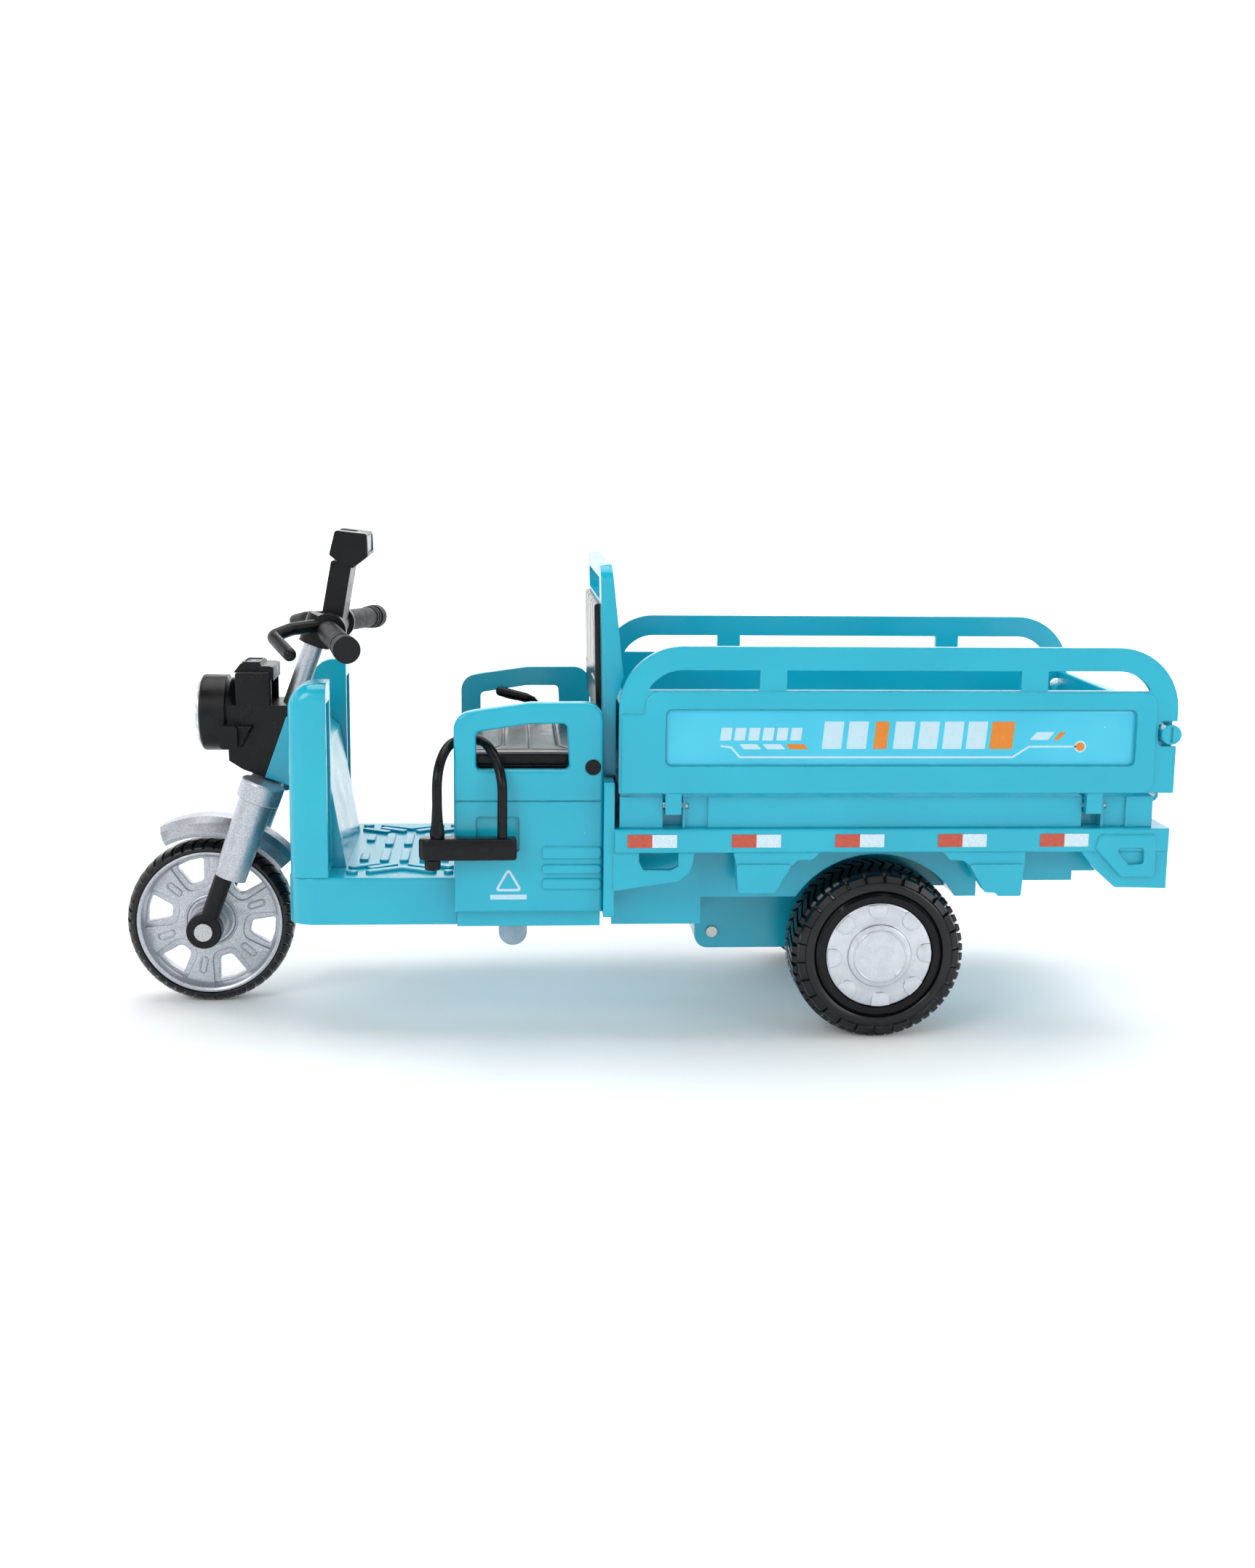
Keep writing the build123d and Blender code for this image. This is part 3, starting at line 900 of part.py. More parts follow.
def handlebar():
    """Cross tube with collar discs and hooked brake guards, and the neck that carries the display."""
    x, z = BAR_X, BAR_Z
    bar = rod((x, -COLLAR_FAR, z), (x, COLLAR_FAR, z), BAR_R)
    bar += side_prism(neck_outline(0.6), -NECK_HALF, NECK_HALF)
    socket_end = steer_point(0, 0, STEM_TOP + 1.5)
    bar += rod(steer_point(0, 0, STEM_TOP - 6.5), socket_end, BAR_R + 0.8)
    bar += rod(socket_end, (x, 0, z), BAR_R + 0.6)
    for side in (-1, 1):
        bar += rod((x, side * COLLAR_NEAR, z), (x, side * COLLAR_FAR, z), COLLAR_R)
        tip = (x - 7.8, side * 33.5, z - 4.2)
        path = [(x - 2.0, side * 13.2, z + 1.4), (x - 9.0, side * 18.0, z + 0.8),
                (x - 13.2, side * 23.5, z - 0.6), tip]
        bar += wire_form(path, [6.0, 2.6], HOOK_R) + Pos(*tip) * Sphere(HOOK_R)
        bar += rod(grip_point(side, -0.04), grip_point(side, 0.9), GRIP_R - GRIP_WALL)
    return bar - rod(steer_point(0, 0, STEM_TOP - 8), steer_point(0, 0, STEM_TOP + SEAT), STEM_R + SEAT)


def grip_point(side, share):
    """Point on a grip's centre line, from the collar (0) to the bar's end (1)."""
    return (BAR_X + (GRIP_END_X - BAR_X) * share, side * (COLLAR_FAR + (GRIP_END_Y - COLLAR_FAR) * share),
            BAR_Z + (GRIP_END_Z - BAR_Z) * share)


def grip(side):
    """Rubber grip with two rings and an end flange."""
    shape = rod(grip_point(side, 0.03), grip_point(side, 0.985), GRIP_R)
    shape += rod(grip_point(side, 0.88), grip_point(side, 0.985), GRIP_R + 0.45)
    for share in (0.76, 0.82):
        shape += rod(grip_point(side, share), grip_point(side, share + 0.03), GRIP_R + 0.25)
    return shape - rod(grip_point(side, -0.1), grip_point(side, 0.91), GRIP_R - GRIP_WALL + SEAT)


def display_hood():
    """Two-pronged hood on the neck, with a window facing the rider."""
    x, z = BAR_X, BAR_Z
    outline = polygon([(x + 0.2, z + 19.5), (x + 1.8, z + 25.8), (x + 10.0, z + 24.9), (x + 10.2, z + 19.1),
                       (x + 6.2, z + 16.0), (x + 2.6, z + 17.6)], 0.7)
    hood = side_prism(outline, -HOOD_HALF, HOOD_HALF)
    slot = polygon([(x - 1.2, z + 21.6), (x + 6.8, z + 22.4), (x + 6.8, z + 27.6), (x - 1.2, z + 27.6)])
    hood -= side_prism(slot, -HOOD_SLOT_HALF, HOOD_SLOT_HALF)
    hood -= block(x + 10.0 - WINDOW_DEEP, x + 20, -WINDOW_HALF, WINDOW_HALF, z + WINDOW_LOW, z + WINDOW_HIGH)
    return hood - side_prism(neck_outline(), -NECK_HALF - SEAT, NECK_HALF + SEAT)


def display_window():
    """Thin pane at the bottom of the hood's window."""
    face = BAR_X + 10.0 - WINDOW_DEEP + SEAT
    return block(face, face + 0.6, -WINDOW_HALF + 0.1, WINDOW_HALF - 0.1, BAR_Z + WINDOW_LOW + 0.1,
                 BAR_Z + WINDOW_HIGH - 0.1)


# ---------------------------------------------------------------- U-lock

def lock_shackle():
    """Bent rod: two legs outside the armrest, joined by a bow that passes behind its front post."""
    foot = LOCK_BAR_BOTTOM + LOCK_BAR_HEIGHT - LOCK_LEG_DEPTH
    behind = LOCK_Y + 9.2
    path = [(LOCK_LEFT_X, LOCK_Y, foot), (LOCK_LEFT_X, LOCK_Y, ARM_HOLE_BOTTOM - 3.8),
            (LOCK_LEFT_X + 1.6, behind, ARM_HOLE_BOTTOM + 6.5),
            (LOCK_RIGHT_X - 4.9, behind, ARM_HOLE_BOTTOM + 7.1),
            (LOCK_RIGHT_X, LOCK_Y, ARM_HOLE_BOTTOM - 0.3), (LOCK_RIGHT_X, LOCK_Y, foot)]
    return wire_form(path, [5.0, 5.4, 5.4, 5.0], LOCK_ROD_R)


def lock_bar():
    """Lock body across the two legs, with a blind socket for each."""
    top = LOCK_BAR_BOTTOM + LOCK_BAR_HEIGHT
    low_x, high_x = LOCK_LEFT_X - 4.6, LOCK_RIGHT_X + 3.6
    bar = block(low_x, high_x, LOCK_Y - LOCK_BAR_HALF_WIDTH, LOCK_Y + LOCK_BAR_HALF_WIDTH, LOCK_BAR_BOTTOM,
                top)
    bar = fillet(bar.edges().filter_by(Axis.X), 0.8)
    for x in (LOCK_LEFT_X, LOCK_RIGHT_X):
        bar -= rod((x, LOCK_Y, top - LOCK_LEG_DEPTH - 0.4), (x, LOCK_Y, top + 1), LOCK_ROD_R + 0.12)
    return bar


def lock_key():
    """Round key knob under the left end of the lock bar."""
    x = LOCK_LEFT_X - 1.2
    knob = rod((x, LOCK_Y, LOCK_BAR_BOTTOM - 2.6), (x, LOCK_Y, LOCK_BAR_BOTTOM - 0.1), 2.0)
    return fillet(knob.faces().sort_by(Axis.Z)[0].edges(), 0.5)


# ---------------------------------------------------------------- fasteners

def case_screws():
    """Screws that hold the two gearbox halves, along Y."""
    screws = []
    for x, z in ((CASE_FRONT + 4.5, CASE_BOTTOM + 4.5), (CASE_REAR - 4.5, CASE_BOTTOM + 4.5)):
        screws.append(rod((x, -CASE_HALF - SCREW_HEAD_THICK, z), (x, -CASE_HALF, z), SCREW_HEAD_R))
    return solids_of(screws)


def deck_screws():
    """Screw heads under the seat box and floorboard."""
    heads = []
    for x in (BOX_FRONT + 6, BOX_REAR - 6):
        for y in (10 - BOX_HALF, BOX_HALF - 10):
            heads.append(rod((x, y, BOX_BOTTOM - SCREW_HEAD_THICK), (x, y, BOX_BOTTOM), SCREW_HEAD_R))
    return solids_of(heads)


NODES = {
    "drop_side_left": drop_side,
    "drop_side_right": lambda: mirrored(drop_side()),
    "cargo_bed": cargo_bed,
    "tailgate": tailgate,
    "side_hinge_pins": side_hinge_pins,
    "gate_hinge_pins": gate_hinge_pins,
    "chassis_frame": chassis_frame,
    "underbody": underbody,
    "reflectors_red": lambda: reflectors(True),
    "reflectors_white": lambda: reflectors(False),
    "axle_gear": axle_gear,
    "idler_gears": idler_gears,
    "idler_shaft": idler_shaft,
    "flywheel": flywheel,
    "gearbox_left": lambda: gearbox_half(-1),
    "gearbox_right": lambda: gearbox_half(1),
    "gearbox_screws": case_screws,
    "deck_screws": deck_screws,
    "rear_axle": rear_axle,
    "rear_tyre_left": rear_tyre,
    "rear_tyre_right": lambda: mirrored(rear_tyre()),
    "rear_rim_left": rear_rim,
    "rear_rim_right": lambda: mirrored(rear_rim()),
    "hubcap_left": hubcap,
    "hubcap_right": lambda: mirrored(hubcap()),
    "floorboard": floorboard,
    "leg_shield": leg_shield,
    "seat_box": seat_box,
    "armrest_left": armrest,
    "armrest_right": lambda: mirrored(armrest()),
    "seat_base": seat_base,
    "seat_cushion": cushion,
    "seat_back": seat_back,
    "seat_back_pad": back_pad,
    "brake_lever": brake_lever,
    "brake_lever_bracket": lever_bracket,
    "floor_lug": floor_lug,
    "steering_head": steering_head,
    "lamp_housing": lamp_housing,
    "lamp_lens": lamp_lens,
    "front_tyre": front_tyre,
    "front_rim": front_rim,
    "front_axle": front_axle,
    "fork_crown": fork_crown,
    "fork_tubes": fork_tubes,
    "fork_lower_legs": fork_lower_legs,
    "front_fender": front_fender,
    "steering_stem": stem,
    "handlebar": handlebar,
    "grip_left": lambda: grip(-1),
    "grip_right": lambda: grip(1),
    "display_hood": display_hood,
    "display_window": display_window,
    "lock_shackle": lock_shackle,
    "lock_bar": lock_bar,
    "lock_key": lock_key,
}

# The origin lies midway between the front of the front tyre and the back of the latch pins.
MIDDLE_X = (FRONT_AXLE_X - TYRE_R + LATCH_X + LATCH_R) / 2

os.makedirs("parts", exist_ok=True)
for name, build in NODES.items():
    export_step(Pos(-MIDDLE_X, 0, 0) * build(), f"parts/{name}.step")
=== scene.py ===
import math

import bmesh
import bpy
from mathutils import Matrix, Vector
from mathutils.geometry import tessellate_polygon


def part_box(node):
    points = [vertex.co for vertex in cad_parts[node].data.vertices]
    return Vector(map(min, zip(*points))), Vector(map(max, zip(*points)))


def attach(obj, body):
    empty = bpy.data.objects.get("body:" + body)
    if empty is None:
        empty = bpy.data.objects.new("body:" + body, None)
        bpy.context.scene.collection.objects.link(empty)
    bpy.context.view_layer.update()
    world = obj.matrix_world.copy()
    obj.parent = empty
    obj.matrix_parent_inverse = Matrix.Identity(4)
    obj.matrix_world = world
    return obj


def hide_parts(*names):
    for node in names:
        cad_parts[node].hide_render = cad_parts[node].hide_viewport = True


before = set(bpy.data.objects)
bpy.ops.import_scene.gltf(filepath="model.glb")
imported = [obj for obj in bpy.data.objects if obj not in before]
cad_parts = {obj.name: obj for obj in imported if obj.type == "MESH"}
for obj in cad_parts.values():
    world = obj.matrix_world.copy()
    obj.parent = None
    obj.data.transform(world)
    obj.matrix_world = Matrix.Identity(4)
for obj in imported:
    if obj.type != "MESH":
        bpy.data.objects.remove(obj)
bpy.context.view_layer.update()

MM = 0.001
WELD = 1e-4                 # mm, below which two points count as one
CAD_SHARP_ANGLE = 28         # degrees between faces, above which a CAD edge is drawn sharp


def new_mesh(name, verts, faces):
    """Mesh from points and the faces between them."""
    mesh = bpy.data.meshes.new(name)
    mesh.from_pydata(verts, [], faces)
    return mesh


# ---------------------------------------------------------------- camera, light and floor

CAMERA_AT = (-33.07, -490.1, 146.03)        # mm
CAMERA_TURN, CAMERA_DIP, CAMERA_ROLL = 3.847, 9.995, 0.611      # degrees
CAMERA_LENS = 41.74                         # mm on a 36 mm sensor


def add_camera():
    """Looks along +Y, turned a little rearwards, dipped and rolled."""
    turn, dip, roll = (math.radians(a) for a in (CAMERA_TURN, CAMERA_DIP, CAMERA_ROLL))
    forward = Vector((math.sin(turn) * math.cos(dip), math.cos(turn) * math.cos(dip), -math.sin(dip)))
    level = Vector((math.cos(turn), -math.sin(turn), 0))
    up = level.cross(forward)
    right = level * math.cos(roll) + up * math.sin(roll)
    top = right.cross(forward)
    camera = bpy.data.objects.new("camera", bpy.data.cameras.new("camera"))
    camera.data.lens = CAMERA_LENS
    camera.data.sensor_width = 36.0
    camera.data.clip_start = 0.01
    axes = Matrix((right, top, -forward)).transposed().to_4x4()
    camera.matrix_world = Matrix.Translation(Vector(CAMERA_AT) * MM) @ axes
    bpy.context.scene.collection.objects.link(camera)
    bpy.context.scene.camera = camera


def add_softbox(name, place, target, width, height, power, colour):
    """Rectangular studio light that points at a target."""
    data = bpy.data.lights.new(name, "AREA")
    data.shape = "RECTANGLE"
    data.size, data.size_y = width, height
    data.energy = power
    data.color = colour
    lamp = bpy.data.objects.new(name, data)
    lamp.visible_camera = False
    aim = Vector(target) - Vector(place)
    lamp.matrix_world = Matrix.Translation(place) @ aim.to_track_quat("-Z", "Y").to_matrix().to_4x4()
    bpy.context.scene.collection.objects.link(lamp)


def add_studio():
    """Large soft top light, a window-like key from the left and a weaker fill from the right."""
    middle = (0.0, 0.0, 0.06)
    add_softbox("top_light", (0.05, 0.12, 1.0), middle, 1.1, 0.8, 8.0, (1.0, 0.99, 0.98))
    add_softbox("key_light", (-0.62, -0.85, 0.75), middle, 0.5, 0.6, 4.2, (1.0, 0.99, 0.97))
    add_softbox("fill_light", (0.85, -0.8, 0.45), middle, 0.5, 0.6, 1.8, (0.97, 0.985, 1.0))
    add_softbox("back_light", (0.2, 1.0, 0.6), middle, 1.0, 0.4, 1.6, (1.0, 1.0, 1.0))
    world = bpy.data.worlds.new("studio")
    world.use_nodes = True
    sky = world.node_tree.nodes["Background"]
    sky.inputs["Color"].default_value = (1.0, 1.0, 1.0, 1.0)
    sky.inputs["Strength"].default_value = 0.2
    bpy.context.scene.world = world
    bpy.context.scene.view_settings.view_transform = "Standard"


def add_sweep(material):
    """Round floor that curves up far from the object, so no horizon shows from any side."""
    flat, rise, steps, around = 1.5, 1.1, 16, 96
    outline = [(0.02, 0.0), (0.5, 0.0), (flat, 0.0)]
    for step in range(1, steps + 1):
        angle = math.radians(90 * step / steps)
        outline.append((flat + rise * math.sin(angle), rise * (1 - math.cos(angle))))
    outline.append((flat + rise, 2.2))
    verts, faces = [(0.0, 0.0, 0.0)], []
    for index in range(around):
        angle = 2 * math.pi * index / around
        verts += [(r * math.cos(angle), r * math.sin(angle), z) for r, z in outline]
    count = len(outline)
    for index in range(around):
        here, there = 1 + index * count, 1 + (index + 1) % around * count
        faces.append((0, here, there))
        faces += [(here + k, here + k + 1, there + k + 1, there + k) for k in range(count - 1)]
    mesh = new_mesh("floor", verts, faces)
    mesh.shade_smooth()
    mesh.materials.append(material)
    floor = bpy.data.objects.new("floor", mesh)
    bpy.context.scene.collection.objects.link(floor)


# ---------------------------------------------------------------- materials

def linear(code, gain=1.0):
    """Linear colour of an sRGB hex code."""
    channels = [int(code[place:place + 2], 16) / 255 for place in (1, 3, 5)]
    return [gain * (c / 12.92 if c <= 0.04045 else ((c + 0.055) / 1.055) ** 2.4) for c in channels] + [1.0]


def add(tree, kind, sockets=None, **settings):
    """One shader node with its settings, and a value or a link for each socket."""
    node = tree.nodes.new(kind)
    for key, value in settings.items():
        setattr(node, key, value)
    for name, value in (sockets or {}).items():
        if isinstance(value, bpy.types.NodeSocket):
            tree.links.new(value, node.inputs[name])
        else:
            node.inputs[name].default_value = value
    return node


def per_mm(size):
    """Texture scale that repeats about every size, in millimetres."""
    return 1000.0 / size


class Finish:
    """Material under construction: the shader, object coordinates, and an edge mask."""

    def __init__(self, name, roughness, metallic=0.0, ior=1.5, round_mm=0.25, gloss=0.5):
        self.material = bpy.data.materials.new(name)
        self.material.use_nodes = True
        self.tree = self.material.node_tree
        self.shader = self.tree.nodes["Principled BSDF"]
        self.shader.inputs["Roughness"].default_value = roughness
        self.shader.inputs["Metallic"].default_value = metallic
        self.shader.inputs["IOR"].default_value = ior
        self.shader.inputs["Specular IOR Level"].default_value = gloss
        self.place = add(self.tree, "ShaderNodeTexCoord").outputs["Object"]
        rounded = add(self.tree, "ShaderNodeBevel", {"Radius": round_mm * MM}, samples=4)
        self.normal = rounded.outputs["Normal"]
        flat = add(self.tree, "ShaderNodeNewGeometry").outputs["Normal"]
        alike = add(self.tree, "ShaderNodeVectorMath", {0: self.normal, 1: flat}, operation="DOT_PRODUCT")
        self.edge = self.spread(alike.outputs["Value"], 0.995, 0.8)

    def noise(self, size_mm, detail=3.0, stretch=(1, 1, 1)):
        """Soft noise whose patches are about this size."""
        placed = add(self.tree, "ShaderNodeMapping", {"Vector": self.place, "Scale": stretch})
        made = add(self.tree, "ShaderNodeTexNoise",
                   {"Vector": placed.outputs["Vector"], "Scale": per_mm(size_mm), "Detail": detail})
        return made.outputs["Fac"]

    def cells(self, size_mm, output="Distance", feature="F1"):
        """Cell pattern of about this size: its distance or its random colour per cell."""
        made = add(self.tree, "ShaderNodeTexVoronoi", {"Vector": self.place, "Scale": per_mm(size_mm)},
                   feature=feature)
        return made.outputs[output]

    def spread(self, value, low, high, to_low=0.0, to_high=1.0):
        """Value taken from one range to another, clamped."""
        made = add(self.tree, "ShaderNodeMapRange", {"Value": value, "From Min": low, "From Max": high,
                                                     "To Min": to_low, "To Max": to_high})
        return made.outputs["Result"]

    def times(self, first, second):
        """Product of two values."""
        return add(self.tree, "ShaderNodeMath", {0: first, 1: second}, operation="MULTIPLY").outputs[0]

    def mix(self, share, first, second):
        """Colour between two colours, by a share from 0 to 1."""
        made = self.tree.nodes.new("ShaderNodeMix")
        made.data_type = "RGBA"
        for place, value in ((0, share), (6, first), (7, second)):
            if isinstance(value, bpy.types.NodeSocket):
                self.tree.links.new(value, made.inputs[place])
            else:
                made.inputs[place].default_value = value
        return made.outputs[2]

    def colour(self, value):
        """Takes this as the base colour."""
        self.tree.links.new(value, self.shader.inputs["Base Color"])

    def sheen(self, low, high, size_mm, detail=3.0):
        """Roughness that drifts between two values, in patches of about this size."""
        drift = self.spread(self.noise(size_mm, detail), 0.3, 0.7, low, high)
        self.tree.links.new(drift, self.shader.inputs["Roughness"])

    def relief(self, *layers):
        """Bumps, each a (height socket, depth in mm), over the rounded edges."""
        normal = self.normal
        for height, depth_mm in layers:
            normal = add(self.tree, "ShaderNodeBump", {"Height": height, "Distance": depth_mm * MM,
                                                       "Strength": 1.0, "Normal": normal}).outputs["Normal"]
        self.tree.links.new(normal, self.shader.inputs["Normal"])
        return self.material


def polished_abs(name, base, deep, pale, roughness):
    """ABS from a polished mould: flow clouds, faint orange peel, edges painted paler as a painted highlight,
    and a few specks of dust.
    """
    made = Finish(name, roughness, ior=1.54, round_mm=0.45)
    flow = made.spread(made.noise(34, 2.0), 0.35, 0.65)
    body = made.mix(flow, linear(base), linear(deep))
    # Painted highlight: the edges are mixed towards the pale colour, patchily.
    edge_highlight = made.times(made.edge, made.spread(made.noise(3.0), 0.3, 0.7, 0.05, 0.35))
    body = made.mix(edge_highlight, body, linear(pale))
    dust = made.spread(made.cells(8.0), 0.014, 0.008, 0.0, 0.5)
    made.colour(made.mix(dust, body, linear("#E6F2F5")))
    made.sheen(roughness - 0.05, roughness + 0.09, 11.0, 5.0)
    return made.relief((made.noise(1.6, 1.0), 0.012), (made.noise(0.3, 2.0), 0.003))


def satin_abs(name, base, highlight_tone, roughness, grain_mm=0.22, grain_depth=0.012):
    """ABS from a spark-eroded mould: fine dull grain that reads grey where light grazes it, and edges painted
    a lighter grey as a painted highlight.
    """
    made = Finish(name, roughness, ior=1.54, round_mm=0.3, gloss=0.2)
    # Painted highlight: the edges are mixed towards a lighter grey, patchily.
    edge_highlight = made.times(made.edge, made.spread(made.noise(1.8, 4.0), 0.35, 0.65, 0.1, 0.8))
    cloud = made.mix(made.spread(made.noise(9.0, 4.0), 0.35, 0.7), linear(base), linear(base, 1.6))
    made.colour(made.mix(edge_highlight, cloud, linear(highlight_tone)))
    made.sheen(roughness - 0.07, roughness + 0.1, 5.0, 5.0)
    return made.relief((made.noise(grain_mm, 2.0), grain_depth / 2), (made.noise(2.4, 2.0), 0.008))


def silver_lacquer(name, roughness, flake_mm=0.16):
    """Silver lacquer sprayed over plastic: a pale metal with a visible flake, and edges painted darker as a
    painted shade.
    """
    made = Finish(name, roughness, metallic=0.88, round_mm=0.3)
    flake = made.cells(flake_mm, "Color")
    tone = made.mix(made.spread(flake, 0.15, 0.85), linear("#A0A3AC"), linear("#D0D3D9"))
    # Painted shade: the edges are mixed towards a darker grey.
    tone = made.mix(made.times(made.edge, 0.35), tone, linear("#8E9198"))
    made.colour(tone)
    made.sheen(roughness - 0.05, roughness + 0.1, 4.0, 5.0)
    return made.relief((flake, 0.006), (made.noise(1.1, 2.0), 0.008))


def stamped_foil(name):
    """Hot-stamped silver foil: bright, slightly crinkled, and split into dark hairlines at sharp edges."""
    made = Finish(name, 0.3, metallic=0.92, round_mm=0.2)
    tone = made.mix(made.spread(made.noise(2.6, 5.0), 0.3, 0.7), linear("#C6C9D0"), linear("#D2D4DA"))
    split = made.times(made.edge, made.spread(made.noise(1.7, 3.0), 0.60, 0.66, 0.0, 0.9))
    made.colour(made.mix(split, tone, linear("#1B1B1E")))
    made.sheen(0.25, 0.4, 0.9, 4.0)
    return made.relief((made.noise(2.4, 2.0), 0.006), (made.cells(0.25, "Color"), 0.0015))


def tyre_pvc():
    """Moulded PVC tyre: near black, soft sheen, with greyer patches of mould release."""
    made = Finish("tyre_pvc", 0.4, ior=1.53, round_mm=0.15, gloss=0.35)
    tone = made.mix(made.spread(made.noise(6.0, 5.0), 0.42, 0.72), linear("#08080A"), linear("#111114"))
    # Painted highlight: the edges are mixed towards a lighter grey.
    made.colour(made.mix(made.times(made.edge, 0.4), tone, linear("#26272C")))
    made.sheen(0.17, 0.26, 2.2, 3.0)
    return made.relief((made.noise(0.28, 2.0), 0.003), (made.noise(3.0, 2.0), 0.008))


def grip_rubber():
    """Soft PVC grip: matt, with a pebbled grain."""
    made = Finish("grip_rubber", 0.52, ior=1.52, round_mm=0.25, gloss=0.25)
    # Painted highlight: the edges are mixed towards a lighter grey.
    made.colour(made.mix(made.edge, linear("#0F0F12"), linear("#2A2A2F")))
    made.sheen(0.44, 0.62, 2.0, 4.0)
    return made.relief((made.cells(0.45), 0.05), (made.noise(0.2, 2.0), 0.01))


def seat_vinyl():
    """Gloss black imitation vinyl: a very fine hide grain that softens the highlights."""
    made = Finish("seat_vinyl", 0.22, ior=1.52, round_mm=0.3, gloss=0.25)
    made.colour(made.mix(made.spread(made.noise(5.0, 4.0), 0.35, 0.7), linear("#07080A"), linear("#0E0F13")))
    made.sheen(0.17, 0.26, 3.0, 3.0)
    creases = made.cells(0.55, "Distance", "DISTANCE_TO_EDGE")
    return made.relief((made.spread(creases, 0.0, 0.12), 0.003), (made.noise(4.0, 2.0), 0.012))


def drawn_steel(name, tone_low, tone_high, roughness):
    """Zinc-plated drawn wire: long fine scratches along its length, with a faint yellow-grey bloom."""
    made = Finish(name, roughness, metallic=1.0, round_mm=0.15)
    lines = made.noise(0.3, 3.0, stretch=(1.0, 0.04, 1.0))
    made.colour(made.mix(made.spread(lines, 0.3, 0.7), linear(tone_low), linear(tone_high)))
    made.sheen(roughness - 0.06, roughness + 0.12, 1.2, 4.0)
    return made.relief((lines, 0.008))


def acetal():
    """Natural acetal: milky white, waxy, with faint tool rings."""
    made = Finish("natural_acetal", 0.38, ior=1.48, round_mm=0.12)
    made.colour(made.mix(made.spread(made.noise(2.5), 0.3, 0.7), linear("#E9E5D8"), linear("#F3F0E6")))
    made.sheen(0.32, 0.46, 1.0)
    return made.relief((made.noise(0.5), 0.01))


def frosted_pp():
    """Frosted blue-grey polypropylene that lets a little light through."""
    made = Finish("frosted_pp", 0.42, ior=1.49, round_mm=0.3)
    made.shader.inputs["Subsurface Weight"].default_value = 0.25
    made.shader.inputs["Subsurface Radius"].default_value = (0.001, 0.0012, 0.0014)
    made.colour(made.mix(made.spread(made.noise(3.0), 0.3, 0.7), linear("#9FB6C4"), linear("#B9CCD7")))
    made.sheen(0.36, 0.5, 1.5)
    return made.relief((made.noise(0.4), 0.012))


def reflective_film(name, base, bright):
    """Prismatic film: small cells that flash brighter or darker, under a clear face."""
    made = Finish(name, 0.2, ior=1.5, round_mm=0.05)
    made.shader.inputs["Coat Weight"].default_value = 0.6
    made.shader.inputs["Coat Roughness"].default_value = 0.08
    cell = made.cells(0.45, "Color")
    made.colour(made.mix(made.spread(cell, 0.2, 0.8), linear(base), linear(bright)))
    edge = made.cells(0.45, "Distance", "DISTANCE_TO_EDGE")
    return made.relief((made.spread(edge, 0.0, 0.08), 0.003))


def printed_ink(name, base, thin):
    """Screen-printed ink: even, a little thin in places, with a dry edge."""
    made = Finish(name, 0.35, ior=1.5, round_mm=0.03)
    made.colour(made.mix(made.spread(made.noise(0.8, 4.0), 0.5, 0.75, 0.0, 0.6), linear(base), linear(thin)))
    made.sheen(0.28, 0.45, 0.5, 3.0)
    return made.relief((made.noise(0.25), 0.004))


def gloss_film():
    """Pale blue vinyl film behind the graphics: smooth, with slight pressure marks."""
    made = Finish("gloss_film", 0.16, ior=1.5, round_mm=0.05)
    tone = made.mix(made.spread(made.noise(26.0, 2.0), 0.35, 0.65), linear("#3FBEDB"), linear("#37B6D4"))
    made.colour(made.mix(made.spread(made.cells(9.0), 0.02, 0.01, 0.0, 0.7), tone, linear("#EAF6F9")))
    made.sheen(0.12, 0.24, 8.0, 4.0)
    return made.relief((made.noise(4.0, 2.0), 0.02))


def silvered_lens():
    """Clear lens over a silvered dish: pale, very smooth, fluted in rings."""
    made = Finish("silvered_lens", 0.12, metallic=0.15, ior=1.59, round_mm=0.2)
    made.shader.inputs["Coat Weight"].default_value = 1.0
    made.shader.inputs["Coat Roughness"].default_value = 0.03
    made.colour(made.mix(made.spread(made.cells(1.6), 0.1, 0.6), linear("#F1F4F6"), linear("#BFC7CE")))
    return made.relief((made.cells(1.6), 0.06))


def display_pane():
    """Silver-grey hot-stamped pane, speckled where the foil is thin."""
    made = Finish("display_pane", 0.3, metallic=0.5, round_mm=0.1)
    speck = made.spread(made.noise(0.35, 3.0), 0.5, 0.62)
    made.colour(made.mix(speck, linear("#A9ABB6"), linear("#6E707B")))
    made.sheen(0.22, 0.42, 0.6)
    return made.relief((made.noise(0.5, 3.0), 0.02))


def studio_paper():
    """White paper sweep with a very faint mottle, lit where it rises far away and most of all at the back."""
    made = Finish("studio_paper", 0.75, round_mm=0.0)
    reach = add(made.tree, "ShaderNodeVectorMath", {0: made.place}, operation="LENGTH").outputs["Value"]
    across = add(made.tree, "ShaderNodeSeparateXYZ", {0: made.place}).outputs["Y"]
    glow = made.times(made.spread(reach, 0.2, 1.3, 0.1, 1.0), made.spread(across, -0.6, 0.6, 0.2, 0.68))
    made.tree.links.new(glow, made.shader.inputs["Emission Strength"])
    made.shader.inputs["Emission Color"].default_value = (1.0, 1.0, 1.0, 1.0)
    made.colour(made.mix(made.spread(made.noise(60.0, 3.0), 0.3, 0.7), linear("#F7F8F9"), linear("#F2F4F5")))
    return made.relief((made.noise(0.8, 3.0), 0.01))


